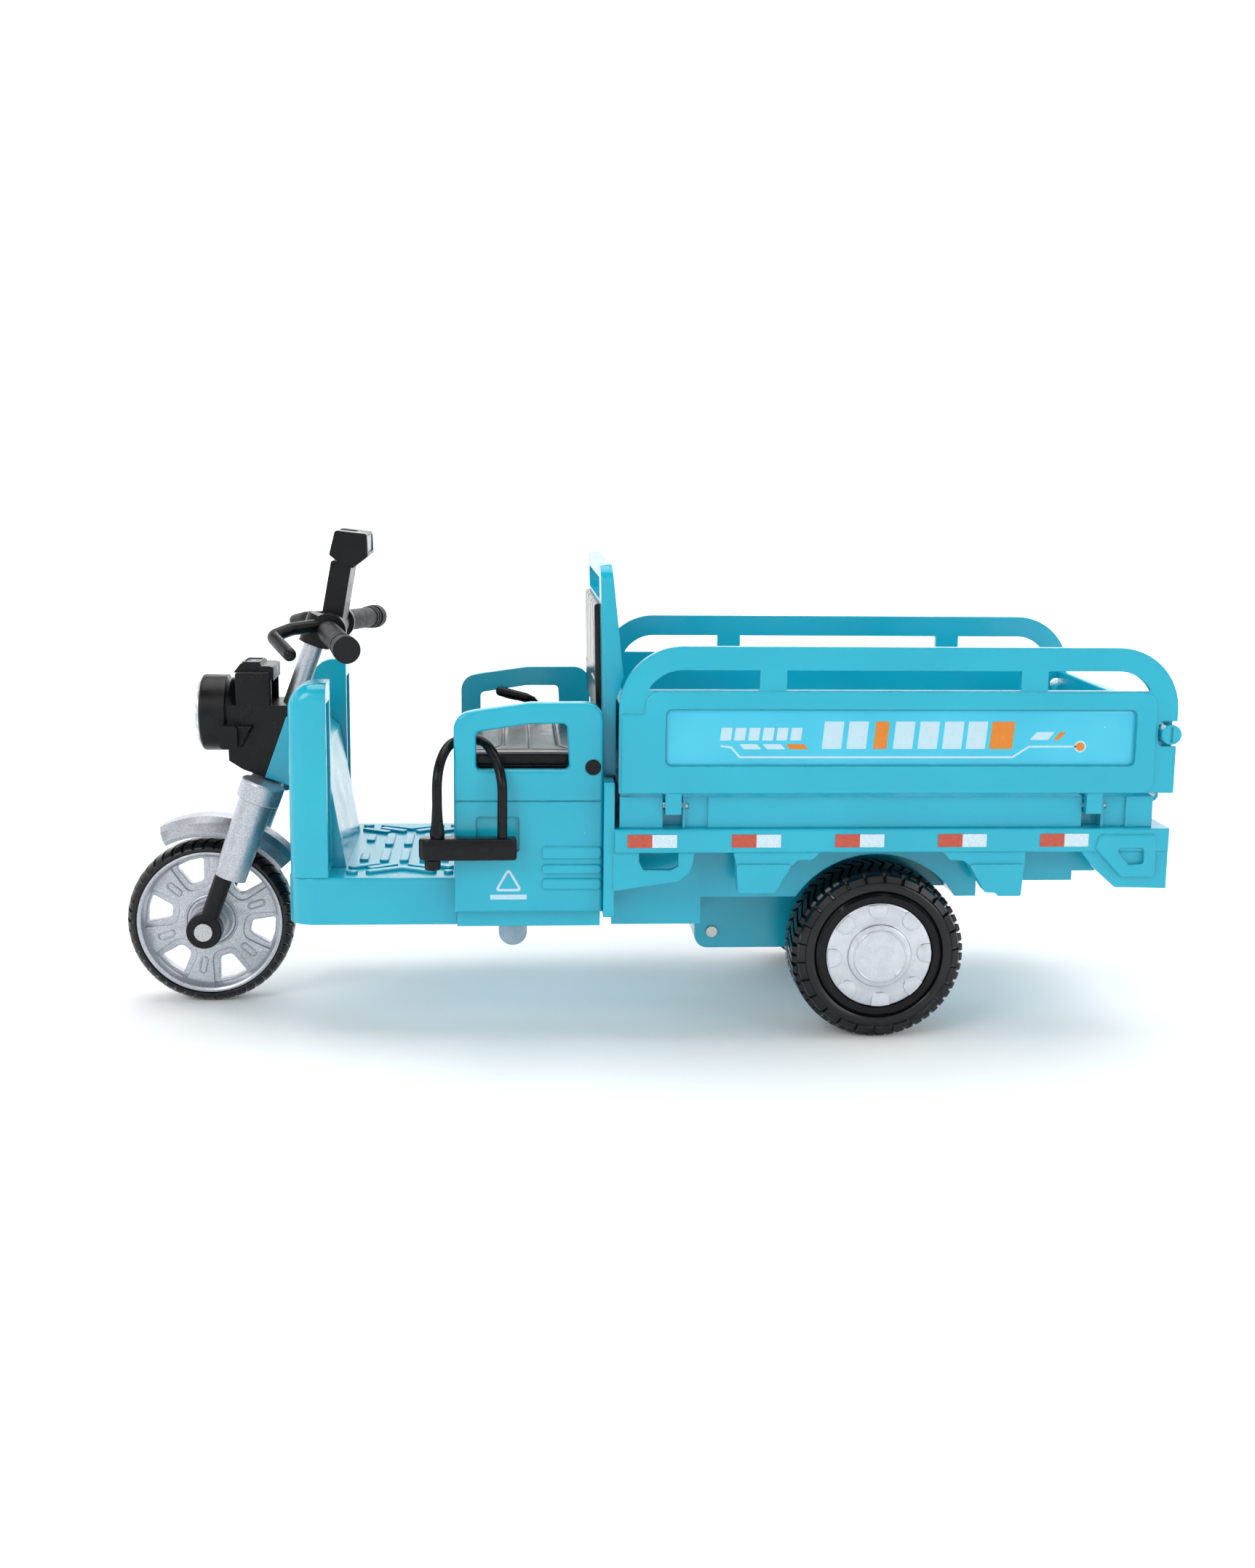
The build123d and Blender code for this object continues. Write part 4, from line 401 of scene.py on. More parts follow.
TEAL = polished_abs("teal_abs", "#12ABC4", "#0EA4BE", "#7FD6E4", 0.17)
BLACK = satin_abs("black_abs", "#0B0B0D", "#2C2D31", 0.3)
GLOSS_BLACK = satin_abs("gloss_black_pvc", "#0A0A0C", "#2B2C30", 0.24, 0.5, 0.006)
RIM_BLACK = satin_abs("gloss_black_abs", "#060608", "#222327", 0.14, 0.6, 0.004)
SILVER = silver_lacquer("silver_lacquer", 0.36)
FOIL = stamped_foil("silver_foil")
TYRE = tyre_pvc()
GRIP = grip_rubber()
VINYL = seat_vinyl()
STEEL = drawn_steel("zinc_steel", "#9C9D9E", "#C9CACB", 0.28)
FLYWHEEL_STEEL = drawn_steel("turned_steel", "#7F8082", "#B4B5B7", 0.34)
GEAR_WHITE = acetal()
LUG_GREY = frosted_pp()
RED_FILM = reflective_film("red_reflector", "#B03418", "#BC4023")
WHITE_FILM = reflective_film("white_reflector", "#BBD3DE", "#C9DDE6")
PALE_INK = printed_ink("pale_ink", "#B9D5E1", "#98CFE0")
ORANGE_INK = printed_ink("orange_ink", "#D57A14", "#CF9448")
PANEL_FILM = gloss_film()
LENS = silvered_lens()
PANE = display_pane()

FINISHES = (
    (TEAL, "drop_side_left drop_side_right cargo_bed tailgate chassis_frame underbody gearbox_left "
           "gearbox_right floorboard leg_shield seat_box armrest_left armrest_right seat_back steering_head"),
    (BLACK, "handlebar display_hood lamp_housing fork_lower_legs seat_base brake_lever brake_lever_bracket"),
    (GLOSS_BLACK, "lock_shackle lock_bar lock_key"),
    (RIM_BLACK, "rear_rim_left rear_rim_right"),
    (SILVER, "front_rim fork_crown fork_tubes front_fender steering_stem"),
    (FOIL, "hubcap_left hubcap_right"),
    (TYRE, "rear_tyre_left rear_tyre_right front_tyre"),
    (GRIP, "grip_left grip_right"),
    (VINYL, "seat_cushion seat_back_pad"),
    (STEEL, "rear_axle front_axle idler_shaft side_hinge_pins gate_hinge_pins gearbox_screws deck_screws"),
    (FLYWHEEL_STEEL, "flywheel"),
    (GEAR_WHITE, "axle_gear idler_gears"),
    (LUG_GREY, "floor_lug"),
    (RED_FILM, "reflectors_red"),
    (WHITE_FILM, "reflectors_white"),
    (LENS, "lamp_lens"),
    (PANE, "display_window"),
)


def paint_cad_nodes():
    """Gives each CAD node its material, and flat shading only across its sharp edges."""
    for material, names in FINISHES:
        for name in names.split():
            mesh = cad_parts[name].data
            mesh.materials.clear()
            mesh.materials.append(material)
            mesh.set_sharp_from_angle(angle=math.radians(CAD_SHARP_ANGLE))


# ---------------------------------------------------------------- mesh tools, in millimetres

def box_mm(node):
    """Lowest corner, highest corner and centre of a CAD node, in millimetres."""
    low, high = (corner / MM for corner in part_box(node))
    return low, high, (low + high) / 2


def rounded(points, radius, steps=5):
    """Closed outline with each corner turned into an arc; radius is one number or one per corner."""
    radii = radius if isinstance(radius, (list, tuple)) else [radius] * len(points)
    made = []
    for index, corner in enumerate(points):
        corner = Vector(corner)
        before = (Vector(points[index - 1]) - corner).normalized()
        after = (Vector(points[(index + 1) % len(points)]) - corner).normalized()
        half = before.angle(after) / 2
        if radii[index] <= 0 or half < 0.01:
            made.append(corner)
            continue
        reach = radii[index] / math.tan(half)
        centre = corner + (before + after).normalized() * radii[index] / math.sin(half)
        start, end = corner + before * reach - centre, corner + after * reach - centre
        for step in range(steps + 1):
            made.append(centre + start.slerp(end, step / steps, start).normalized() * radii[index])
    return made


def circle(centre, radius, steps=48):
    """Round outline."""
    return [Vector((centre[0] + radius * math.cos(2 * math.pi * k / steps),
                    centre[1] + radius * math.sin(2 * math.pi * k / steps))) for k in range(steps)]


def turned_outline(points, angle, offset=(0, 0)):
    """Outline turned by an angle in degrees about the origin, then moved."""
    turn = Matrix.Rotation(math.radians(angle), 2)
    return [turn @ Vector(p) + Vector(offset) for p in points]


def inset(loop, amount):
    """Outline moved to the left of its direction of travel by an amount, with mitred corners."""
    made = []
    for index, corner in enumerate(loop):
        before = (corner - loop[index - 1]).normalized()
        after = (loop[(index + 1) % len(loop)] - corner).normalized()
        left = Vector((-before.y - after.y, before.x + after.x)).normalized()
        made.append(corner + left * amount / max(0.5, left.dot(Vector((-before.y, before.x)))))
    return made


def wound(points, turn):
    """Outline without repeated points, running anticlockwise for turn 1 or clockwise for turn -1."""
    points = [Vector(p[:2]) for p in points]
    loop = [p for k, p in enumerate(points) if (p - points[k - 1]).length > WELD]
    area = sum(loop[k - 1].cross(loop[k]) for k in range(len(loop)))
    return loop if area * turn > 0 else loop[::-1]


def plate(loops, thickness, bevel):
    """Flat plate from one outer outline and any holes, with rounded edges; lies on z = 0 and rises."""
    round_in = bevel * (1 - math.sqrt(0.5))
    levels = [(0, bevel), (round_in, round_in), (bevel, 0),
              (thickness - bevel, 0), (thickness - round_in, round_in), (thickness, bevel)]
    verts, faces, floor_loops, lid_index, floor_index = [], [], [], [], []
    for number, points in enumerate(loops):
        loop = wound(points, -1 if number else 1)
        size = len(loop)
        start = len(verts)
        for height, amount in levels:
            verts += [(x, y, height) for x, y in inset(loop, amount)]
        for level in range(len(levels) - 1):
            low, high = start + level * size, start + (level + 1) * size
            faces += [(low + k, low + (k + 1) % size, high + (k + 1) % size, high + k) for k in range(size)]
        cap = inset(loop, bevel)
        floor_loops.append([p.to_3d() for p in cap])
        floor_index += range(start, start + size)
        lid_index += range(start + (len(levels) - 1) * size, start + len(levels) * size)
    for a, b, c in tessellate_polygon(floor_loops):
        faces.append((lid_index[a], lid_index[b], lid_index[c]))
        faces.append((floor_index[a], floor_index[b], floor_index[c]))
    return new_mesh("plate", verts, faces)


def ring_faces(columns, count):
    """Faces of a ring that closes on itself, between columns of points listed one after another."""
    faces = []
    for index in range(columns):
        here, there = index * count, (index + 1) % columns * count
        faces += [(here + k, there + k, there + (k + 1) % count, here + (k + 1) % count)
                  for k in range(count)]
    return faces


def lathe(section, steps=96):
    """Closed ring turned about the local Z axis from (radius, height) points."""
    verts = []
    for index in range(steps):
        angle = 2 * math.pi * index / steps
        verts += [(r * math.cos(angle), r * math.sin(angle), z) for r, z in section]
    return new_mesh("lathe", verts, ring_faces(steps, len(section)))


def facing(side, x, y, z):
    """Matrix that stands a plate up in X and Z, rising towards -Y for side -1 or +Y for side 1."""
    axes = Matrix(((1, 0, 0), (0, 0, side), (0, 1, 0))).to_4x4()
    return Matrix.Translation((x, y, z)) @ axes


def piece(name, parts, material, body, replaces=(), smooth=35):
    """One object from (mesh, matrix) parts in millimetres, on a body, in the frame's metres."""
    joined = bmesh.new()
    for mesh, matrix in parts:
        start = len(joined.verts)
        joined.from_mesh(mesh)
        joined.verts.ensure_lookup_table()
        bmesh.ops.transform(joined, matrix=matrix, verts=joined.verts[start:])
        bpy.data.meshes.remove(mesh)
    bmesh.ops.remove_doubles(joined, verts=joined.verts, dist=WELD)
    bmesh.ops.recalc_face_normals(joined, faces=joined.faces)
    bmesh.ops.scale(joined, vec=(MM, MM, MM), verts=joined.verts)
    mesh = bpy.data.meshes.new(name)
    joined.to_mesh(mesh)
    joined.free()
    mesh.shade_smooth()
    mesh.set_sharp_from_angle(angle=math.radians(smooth))
    mesh.materials.append(material)
    made = bpy.data.objects.new(name, mesh)
    bpy.context.scene.collection.objects.link(made)
    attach(made, body)
    if replaces:
        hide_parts(*replaces)
    return made


# ---------------------------------------------------------------- tyres

def both_halves(half_section):
    """Section points for one side, made into the whole closed section."""
    return [(-y, *rest) for y, *rest in half_section[::-1]] + half_section


def tread_ring(columns, lugs, skew, edge_y, raised, sunk):
    """Ring whose section switches between raised and sunk points, column by column.

    columns are (share of a pitch, tread height, shoulder height). raised holds (y, radius, zone) for one
    half of the section, and the zone says which of those heights moves the point; sunk holds (y, radius).
    """
    section = list(zip(both_halves(raised), both_halves(sunk)))
    verts, pitch = [], 2 * math.pi / lugs
    for lug in range(lugs):
        for share, tread, shoulder in columns:
            for (y_up, r_up, zone), (y_down, r_down) in section:
                height = {"tread": tread, "shoulder": shoulder, "plain": 1.0}[zone]
                y, r = y_down + (y_up - y_down) * height, r_down + (r_up - r_down) * height
                angle = pitch * (lug + share + skew * min(abs(y), edge_y) / edge_y)
                verts.append((r * math.cos(angle), r * math.sin(angle), y))
    return new_mesh("tread", verts, ring_faces(lugs * len(columns), len(section)))


def rear_tyre(side_name, side):
    """Wide tyre: two rows of slanted tread blocks, and square lugs round each shoulder."""
    node = "rear_tyre_" + side_name
    low, high, centre = box_mm(node)
    outer, half = (high.z - low.z) / 2, (high.y - low.y) / 2
    bead = box_mm("rear_rim_" + side_name)[1].z - centre.z
    up = [(0.45, outer - 0.9, "plain"), (0.6, outer, "tread"), (3.4, outer, "tread"),
          (6.2, outer - 0.15, "tread"), (6.7, outer - 0.5, "tread"), (7.1, outer - 1.25, "plain"),
          (7.5, outer - 1.3, "shoulder"), (8.35, outer - 1.7, "shoulder"), (half, outer - 3.2, "shoulder"),
          (half - 0.3, outer - 3.5, "plain"), (half - 0.05, outer - 4.0, "plain"),
          (half, outer - 4.6, "plain"), (half - 0.1, bead + 0.9, "plain"),
          (half - 0.5, bead + 0.25, "plain"), (half - 1.0, bead + 0.02, "plain")]
    down = [(0.45, outer - 0.9), (0.6, outer - 0.9), (3.4, outer - 0.9), (6.2, outer - 1.0),
            (6.7, outer - 1.2), (7.1, outer - 1.25), (7.3, outer - 2.0), (7.8, outer - 2.5),
            (half - 0.7, outer - 3.3), (half - 0.3, outer - 3.5)]
    down += [(y, r) for y, r, _ in up[len(down):]]
    columns = [(0.0, 0, 1), (0.1, 0, 1), (0.13, 1, 1), (0.3, 1, 1), (0.47, 1, 1), (0.5, 0, 1), (0.6, 0, 1),
               (0.63, 1, 1), (0.74, 1, 1), (0.77, 1, 0), (0.9, 1, 0), (0.93, 1, 1)]
    ring = tread_ring(columns, 26, 0.5, 6.2, up, down)
    made = piece(node + "_tread", [(ring, facing(side, *centre))], TYRE, "rear_wheels", [node], smooth=28)


def front_tyre():
    """Narrow tyre with a smooth middle and short slanted notches over each shoulder."""
    low, high, centre = box_mm("front_tyre")
    outer, half = (high.z - low.z) / 2, (high.y - low.y) / 2
    bead = box_mm("front_rim")[1].z - centre.z
    up = [(0.7, outer, "plain"), (1.4, outer, "tread"), (2.8, outer - 0.1, "tread"),
          (3.8, outer - 0.35, "tread"), (4.7, outer - 0.95, "tread"), (half - 0.1, outer - 1.7, "tread"),
          (half, outer - 2.0, "plain"), (half - 0.05, bead + 0.4, "plain"),
          (half - 0.4, bead + 0.02, "plain")]
    down = [(0.7, outer), (1.5, outer - 0.55), (2.8, outer - 0.8), (3.7, outer - 1.0), (4.4, outer - 1.35),
            (half - 0.35, outer - 1.85), (half, outer - 2.0), (half - 0.05, bead + 0.4),
            (half - 0.4, bead + 0.02)]
    columns = [(0.0, 0, 1), (0.14, 0, 1), (0.22, 1, 1), (0.55, 1, 1), (0.92, 1, 1)]
    ring = tread_ring(columns, 46, 0.8, 4.7, up, down)
    place = facing(1, *centre)
    made = piece("front_tyre_tread", [(ring, place)], TYRE, "front_wheel", ["front_tyre"], smooth=30)


# ---------------------------------------------------------------- wheels

SPOKES, WINDOW_TURN = 6, 49.0       # count; degrees from +X to the first window
SPOKE_SLOT_R = 12.9                 # mm from the hub's centre to each spoke's raised slot
SCALLOPS, SCALLOP_TURN = 8, 3.0     # tabs round a hubcap; degrees from +X to the first tab


def rim_window(inner, outer, narrow, wide, corner):
    """Fan-shaped outline between two radii, pointing along +X."""
    points = [(inner, -narrow), (outer - 0.5, -wide), (outer, 0.0), (outer - 0.5, wide), (inner, narrow)]
    return rounded(points, [narrow * 0.85, corner, 0.0, corner, narrow * 0.85])


def slot_outline(length, width):
    """Outline of a slot about the origin, long along X, with round ends."""
    x, y = length / 2, width / 2
    return rounded([(-x, -y), (x, -y), (x, y), (-x, y)], width * 0.49)


def front_rim():
    """Cast-look rim: band, pierced web with stepped windows, a raised slot ring on each spoke, and a hub."""
    low, high, centre = box_mm("front_rim")
    outer = (high.z - low.z) / 2
    tyre_low, tyre_high, _ = box_mm("front_tyre")
    half = (tyre_high.y - tyre_low.y) / 2
    hub_half = (high.y - low.y) / 2
    bore = (box_mm("front_axle")[1].z - box_mm("front_axle")[0].z) / 2 + 0.05
    place = facing(-1, *centre)
    band = lathe([(outer, -half + 0.2), (outer, half - 0.2), (outer - 0.5, half - 0.1),
                  (outer - 1.1, half - 0.4), (outer - 1.6, half - 1.6), (outer - 1.9, 1.2),
                  (outer - 1.9, -1.2), (outer - 1.6, -half + 1.6), (outer - 1.1, -half + 0.4),
                  (outer - 0.5, -half + 0.1)], 120)
    hub = lathe([(bore, -hub_half), (bore + 1.2, -hub_half), (bore + 1.5, -hub_half + 0.5),
                 (bore + 2.5, -hub_half + 0.5), (bore + 3.0, -hub_half + 1.0), (bore + 3.2, -2.2),
                 (bore + 3.2, 2.2), (bore + 3.0, hub_half - 1.0), (bore + 2.5, hub_half - 0.5),
                 (bore + 1.5, hub_half - 0.5), (bore + 1.2, hub_half), (bore, hub_half)], 72)
    windows, steps = [], []
    for index in range(SPOKES):
        turn = WINDOW_TURN + 360 / SPOKES * index
        windows.append(turned_outline(rim_window(10.7, outer - 2.2, 1.7, 3.9, 0.6), turn))
        steps.append(turned_outline(rim_window(9.0, outer - 1.9, 3.1, 5.4, 0.4), turn))
    web_outer = circle((0, 0), outer - 1.5, 96)
    hub_hole = circle((0, 0), bore + 1.0, 48)
    web = plate([web_outer, hub_hole] + windows, 2.8, 0.3)
    parts = [(band, place), (hub, place), (web, place @ Matrix.Translation((0, 0, -1.4)))]
    for side in (-1, 1):
        face = facing(side, *centre) @ Matrix.Translation((0, 0, 1.35))
        mirrored = face if side < 0 else face @ Matrix.Scale(1, 4)
        parts.append((plate([web_outer, hub_hole] + steps, 0.85, 0.28), mirrored))
        for index in range(SPOKES):
            turn = WINDOW_TURN + 360 / SPOKES * (index + 0.5)
            where = turned_outline([(SPOKE_SLOT_R, 0)], turn)[0]
            loops = [turned_outline(slot_outline(4.8, 2.0), turn, where),
                     turned_outline(slot_outline(4.1, 1.3), turn, where)]
            parts.append((plate(loops, 0.5, 0.12), mirrored @ Matrix.Translation((0, 0, 0.62))))
        ring = lathe([(bore + 4.0, 0.7), (bore + 4.0, 1.1), (bore + 4.3, 1.25), (bore + 4.6, 1.1),
                      (bore + 4.6, 0.7)], 72)
        parts.append((ring, mirrored))
    made = piece("front_rim_cast", parts, SILVER, "front_wheel", ["front_rim"])


def hubcap(side_name, side):
    """Foiled cap: flat ring, raised domed centre, and eight raised tabs at its edge."""
    node = "hubcap_" + side_name
    low, high, centre = box_mm(node)
    radius = (high.z - low.z) / 2
    depth = high.y - low.y
    face = centre.y - depth / 2 if side < 0 else centre.y + depth / 2
    base = depth - 1.3
    place = facing(side, centre.x, face - side * depth, centre.z)
    dome = [(0.02, depth), (3.0, depth - 0.03), (6.0, depth - 0.14), (7.6, depth - 0.3), (8.1, depth - 0.5),
            (8.3, base + 0.12), (8.6, base), (11.0, base - 0.06), (radius - 0.7, base - 0.16),
            (radius - 0.2, base - 0.4), (radius, base - 0.9), (radius, 0.05), (0.02, 0.05)]
    parts = [(lathe(dome, 144), place)]
    ring = lathe([(6.4, depth - 0.25), (6.55, depth - 0.02), (6.8, depth - 0.02), (6.95, depth - 0.3)], 96)
    parts.append((ring, place))
    for index in range(SCALLOPS):
        turn = SCALLOP_TURN + 360 / SCALLOPS * index
        tab = rounded([(radius - 4.0, -2.3), (radius - 0.55, -2.45), (radius - 0.3, 0.0),
                       (radius - 0.55, 2.45), (radius - 4.0, 2.3)], [2.1, 0.2, 0.0, 0.2, 2.1], 6)
        lifted = place @ Matrix.Translation((0, 0, base - 0.2))
        parts.append((plate([turned_outline(tab, turn)], 0.62, 0.14), lifted))
    made = piece(node + "_foiled", parts, FOIL, "rear_wheels", [node])


# ---------------------------------------------------------------- seat

PAD_GAP = 0.05              # kept free round each pad, inside the CAD pad's box
SEAM_WIDTH = 0.3
BACK_TALL = 29.0            # back pad, along its own lean
BACK_LEAN = math.atan2(9.2 - 8.1, 121.2 - 68.0)     # backrest: its shift rearwards over its height


def edge_steps(half, roll, step):
    """Positions from -half to half, dense within the rolled edge and even between."""
    edge = [half - roll * (1 - math.cos(math.radians(90 * k / 5))) for k in range(6)]
    inner = half - roll
    count = max(2, round(2 * inner / step))
    middle = [-inner + 2 * inner * k / count for k in range(1, count)]
    return [-p for p in edge] + middle + edge[::-1]


def seam_depth(x, y, seams, width):
    """How deep a moulded seam is at a point, from 0 to 1."""
    nearest = width * 4
    for (ax, ay), (bx, by) in seams:
        dx, dy = bx - ax, by - ay
        share = max(0.0, min(1.0, ((x - ax) * dx + (y - ay) * dy) / (dx * dx + dy * dy)))
        nearest = min(nearest, math.hypot(x - ax - share * dx, y - ay - share * dy))
    return math.exp(-(nearest / width) ** 2)


def quilted_pad(half_x, half_y, height, roll, crown, seams, seam_mm, seam_deep):
    """Closed pad: rolled edges, a crowned top drawn down along its seams, a flat underside."""
    xs, ys = edge_steps(half_x, roll, 0.3), edge_steps(half_y, roll, 0.3)
    verts, faces = [], []
    for x in xs:
        for y in ys:
            inset = min(half_x - abs(x), half_y - abs(y), roll)
            edge = math.sqrt(max(0.0, 1 - (1 - inset / roll) ** 2))
            swell = crown * (1 - (x / half_x) ** 2) * (1 - (y / half_y) ** 4)
            deep = seam_deep * seam_depth(x, y, seams, seam_mm)
            verts.append((x, y, height - roll - crown + roll * edge + swell - deep))
    rows, width = len(xs), len(ys)
    faces += [(i * width + j, (i + 1) * width + j, (i + 1) * width + j + 1, i * width + j + 1)
              for i in range(rows - 1) for j in range(width - 1)]
    rim = ([i * width for i in range(rows)] + [(rows - 1) * width + j for j in range(1, width)]
           + [i * width + width - 1 for i in range(rows - 2, -1, -1)] + [j for j in range(width - 2, 0, -1)])
    start = len(verts)
    verts += [(verts[k][0], verts[k][1], 0.0) for k in rim]
    size = len(rim)
    faces += [(rim[k], start + k, start + (k + 1) % size, rim[(k + 1) % size]) for k in range(size)]
    faces.append(tuple(start + k for k in range(size - 1, -1, -1)))
    return new_mesh("pad", verts, faces)


def mirrored_seams(seams):
    """Seams of one half, with their mirror images across Y = 0."""
    return seams + [((ax, -ay), (bx, -by)) for (ax, ay), (bx, by) in seams]


def seat_cushion():
    """Seat pad with three panels across, angled corner panels and a long seam near each side."""
    low, high, centre = box_mm("seat_cushion")
    half_x, half_y = (high.x - low.x) / 2 - PAD_GAP, (high.y - low.y) / 2 - PAD_GAP
    side, waist = half_y - 5.0, half_y - 11.0
    seams = mirrored_seams([((-6.4, 0), (-6.4, waist)), ((-6.4, waist), (-10.2, side)),
                            ((-10.2, side), (12.0, side)), ((0.8, 0), (0.8, side)),
                            ((8.2, 0), (8.2, waist)), ((8.2, waist), (12.0, side)),
                            ((-10.2, side), (-half_x, side)), ((-5.4, 0), (-5.4, waist))])
    pad = quilted_pad(half_x, half_y, high.z - low.z, 1.2, 0.35, seams, SEAM_WIDTH, 0.5)
    place = Matrix.Translation((centre.x, centre.y, low.z))
    made = piece("seat_cushion_quilted", [(pad, place)], VINYL, "seat_lid", ["seat_cushion"], smooth=60)


def back_pad():
    """Back pad with upright seams, a waist seam and angled upper corners, leaning with the backrest."""
    low, high, centre = box_mm("seat_back_pad")
    half_v, half_y = BACK_TALL / 2 - PAD_GAP, (high.y - low.y) / 2 - PAD_GAP
    side = half_y - 4.0
    seams = mirrored_seams([((-half_v, 8.5), (half_v, 8.5)), ((-half_v, side), (8.0, side)),
                            ((8.0, side), (half_v, 17.0)), ((-5.0, 8.5), (-5.0, side))])
    pad = quilted_pad(half_v, half_y, 1.6, 0.9, 0.25, seams, SEAM_WIDTH, 0.45)
    upright = Matrix(((0, 0, -1), (0, 1, 0), (1, 0, 0))).to_4x4()
    foot = Vector((high.x - BACK_TALL / 2 * math.sin(BACK_LEAN) - 0.02, centre.y, centre.z))
    place = Matrix.Translation(foot) @ Matrix.Rotation(-BACK_LEAN, 4, "Y") @ upright
    made = piece("seat_back_pad_quilted", [(pad, place)], VINYL, "root", ["seat_back_pad"], smooth=60)


# ---------------------------------------------------------------- floor tread

def stroke(points, width):
    """Outline of a line of even width through its points."""
    left, right = [], []
    for index, point in enumerate(points):
        point = Vector(point)
        ways = []
        if index:
            ways.append((point - Vector(points[index - 1])).normalized())
        if index < len(points) - 1:
            ways.append((Vector(points[index + 1]) - point).normalized())
        along = sum(ways, Vector((0, 0))).normalized()
        across = Vector((-along.y, along.x)) * width / 2 / max(0.5, along.dot(ways[0]))
        left.append(point + across)
        right.append(point - across)
    return rounded(left + right[::-1], width * 0.3, 3)


def floor_tread():
    """Raised tread on the floorboard: upright bars in two rows between slanted and chevron bars."""
    _, floor_high, _ = box_mm("floorboard")
    middle = (box_mm("leg_shield")[1].x + box_mm("seat_box")[0].x) / 2
    lines = [[(x, 3.0), (x, 17.6)] for x in (-5.2, 0.0, 5.2)]
    lines += [[(x, 8.6), (x, 16.4)] for x in (-10.6, 10.6)]
    lines += [[(-13.6, 25.2), (-6.2, 20.6)], [(-8.6, 26.4), (-1.6, 21.6)], [(13.0, 25.2), (6.2, 20.6)],
              [(8.6, 26.4), (1.6, 21.6)], [(-8.8, 30.4), (0.0, 25.6), (8.8, 30.4)],
              [(-13.8, 29.6), (-11.4, 31.0)], [(13.0, 29.6), (11.4, 31.0)]]
    parts = []
    for line in lines:
        for side in (-1, 1):
            placed = [(x, side * y) for x, y in line]
            outline = stroke(placed if side > 0 else placed[::-1], 2.3)
            parts.append((plate([outline], 0.75, 0.16), Matrix.Translation((middle, 0, floor_high.z - 0.05))))
    made = piece("floor_tread", parts, TEAL, "root")


# ---------------------------------------------------------------- graphics

PRINT_THICK, PRINT_BEVEL = 0.04, 0.01


def printed(shapes, place):
    """Thin plates of ink, one for each list of outlines."""
    return [(plate(loops, PRINT_THICK, PRINT_BEVEL), place) for loops in shapes]


def bar(x, z, width, height, lean=0.0):
    """Upright parallelogram from its lower left corner; lean is how far its top is moved along X."""
    return rounded([(x, z), (x + width, z), (x + width + lean, z + height), (x + lean, z + height)], 0.12, 2)


def panel_graphics(side_name, side):
    """Blue film in the sunk window of a drop side, and a plain striped print on it."""
    low, high, _ = box_mm("drop_side_" + side_name)
    left, bottom = low.x + 11.4, 72.3
    width, height = (high.x - low.x) - 21.9, 14.3
    face = side * (abs(low.y if side < 0 else high.y) - 1.0)
    film = rounded([(0.3, 0.3), (width - 0.3, 0.3), (width - 0.3, height - 0.3), (0.3, height - 0.3)], 1.4)
    place = facing(side, left, face, bottom)
    body = "side_" + side_name
    made = piece("panel_film_" + side_name, [(plate([film], 0.1, 0.02), place)], PANEL_FILM, body)
    pale = [bar(13.6 + 3.5 * k, 6.4, 2.7, 3.2, 0.4) for k in range(6)]
    pale += [bar(x, 4.3, 4.9, 6.9, 0.6) for x in (39.1, 45.3, 57.0, 63.2, 69.4, 75.4)]
    pale += [stroke([(13.8, 5.0), (16.4, 4.7), (18.6, 2.2), (87.4, 2.2), (91.6, 4.9), (103.6, 4.9)], 0.5)]
    pale += [bar(19.6, 4.2, 4.4, 1.3, -1.2), bar(25.4, 4.2, 4.6, 1.3, -1.2), bar(91.6, 6.6, 4.6, 2.0, 1.8),
             circle((104.6, 4.9), 1.5, 28)]
    orange = [bar(52.0, 4.3, 3.4, 6.9, 0.6), bar(81.4, 4.3, 5.8, 6.9, 0.6), bar(31.2, 4.2, 4.6, 1.3, -1.2),
              bar(97.6, 6.6, 1.5, 2.0, 1.8), circle((104.6, 4.9), 1.1, 24)]
    if side > 0:
        pale = [[(width - p[0], p[1]) for p in loop] for loop in pale]
        orange = [[(width - p[0], p[1]) for p in loop] for loop in orange]
    for name, loops, ink, lift in (("pale", pale, PALE_INK, 0.08), ("orange", orange, ORANGE_INK, 0.1)):
        parts = printed([[loop] for loop in loops], place @ Matrix.Translation((0, 0, lift)))
        made = piece(f"panel_print_{name}_{side_name}", parts, ink, body)


def side_marks():
    """Plain triangle outline with a stripe under it, printed on each side cover."""
    for side_name, side in (("left", -1), ("right", 1)):
        low, high, _ = box_mm("armrest_" + side_name)
        face = side * (abs(low.y if side < 0 else high.y) - 0.7)
        place = facing(side, low.x + 13.6, face + side * 0.02, 38.6)
        outer = rounded([(-3.6, 0.8), (3.6, 0.8), (0.0, 7.0)], 0.7)
        inner = rounded([(-2.5, 1.45), (2.5, 1.45), (0.0, 5.75)], 0.2)
        parts = printed([[outer, inner], [bar(-4.6, -1.3, 9.2, 1.25)]], place)
        made = piece("cover_mark_" + side_name, parts, PALE_INK, "root")


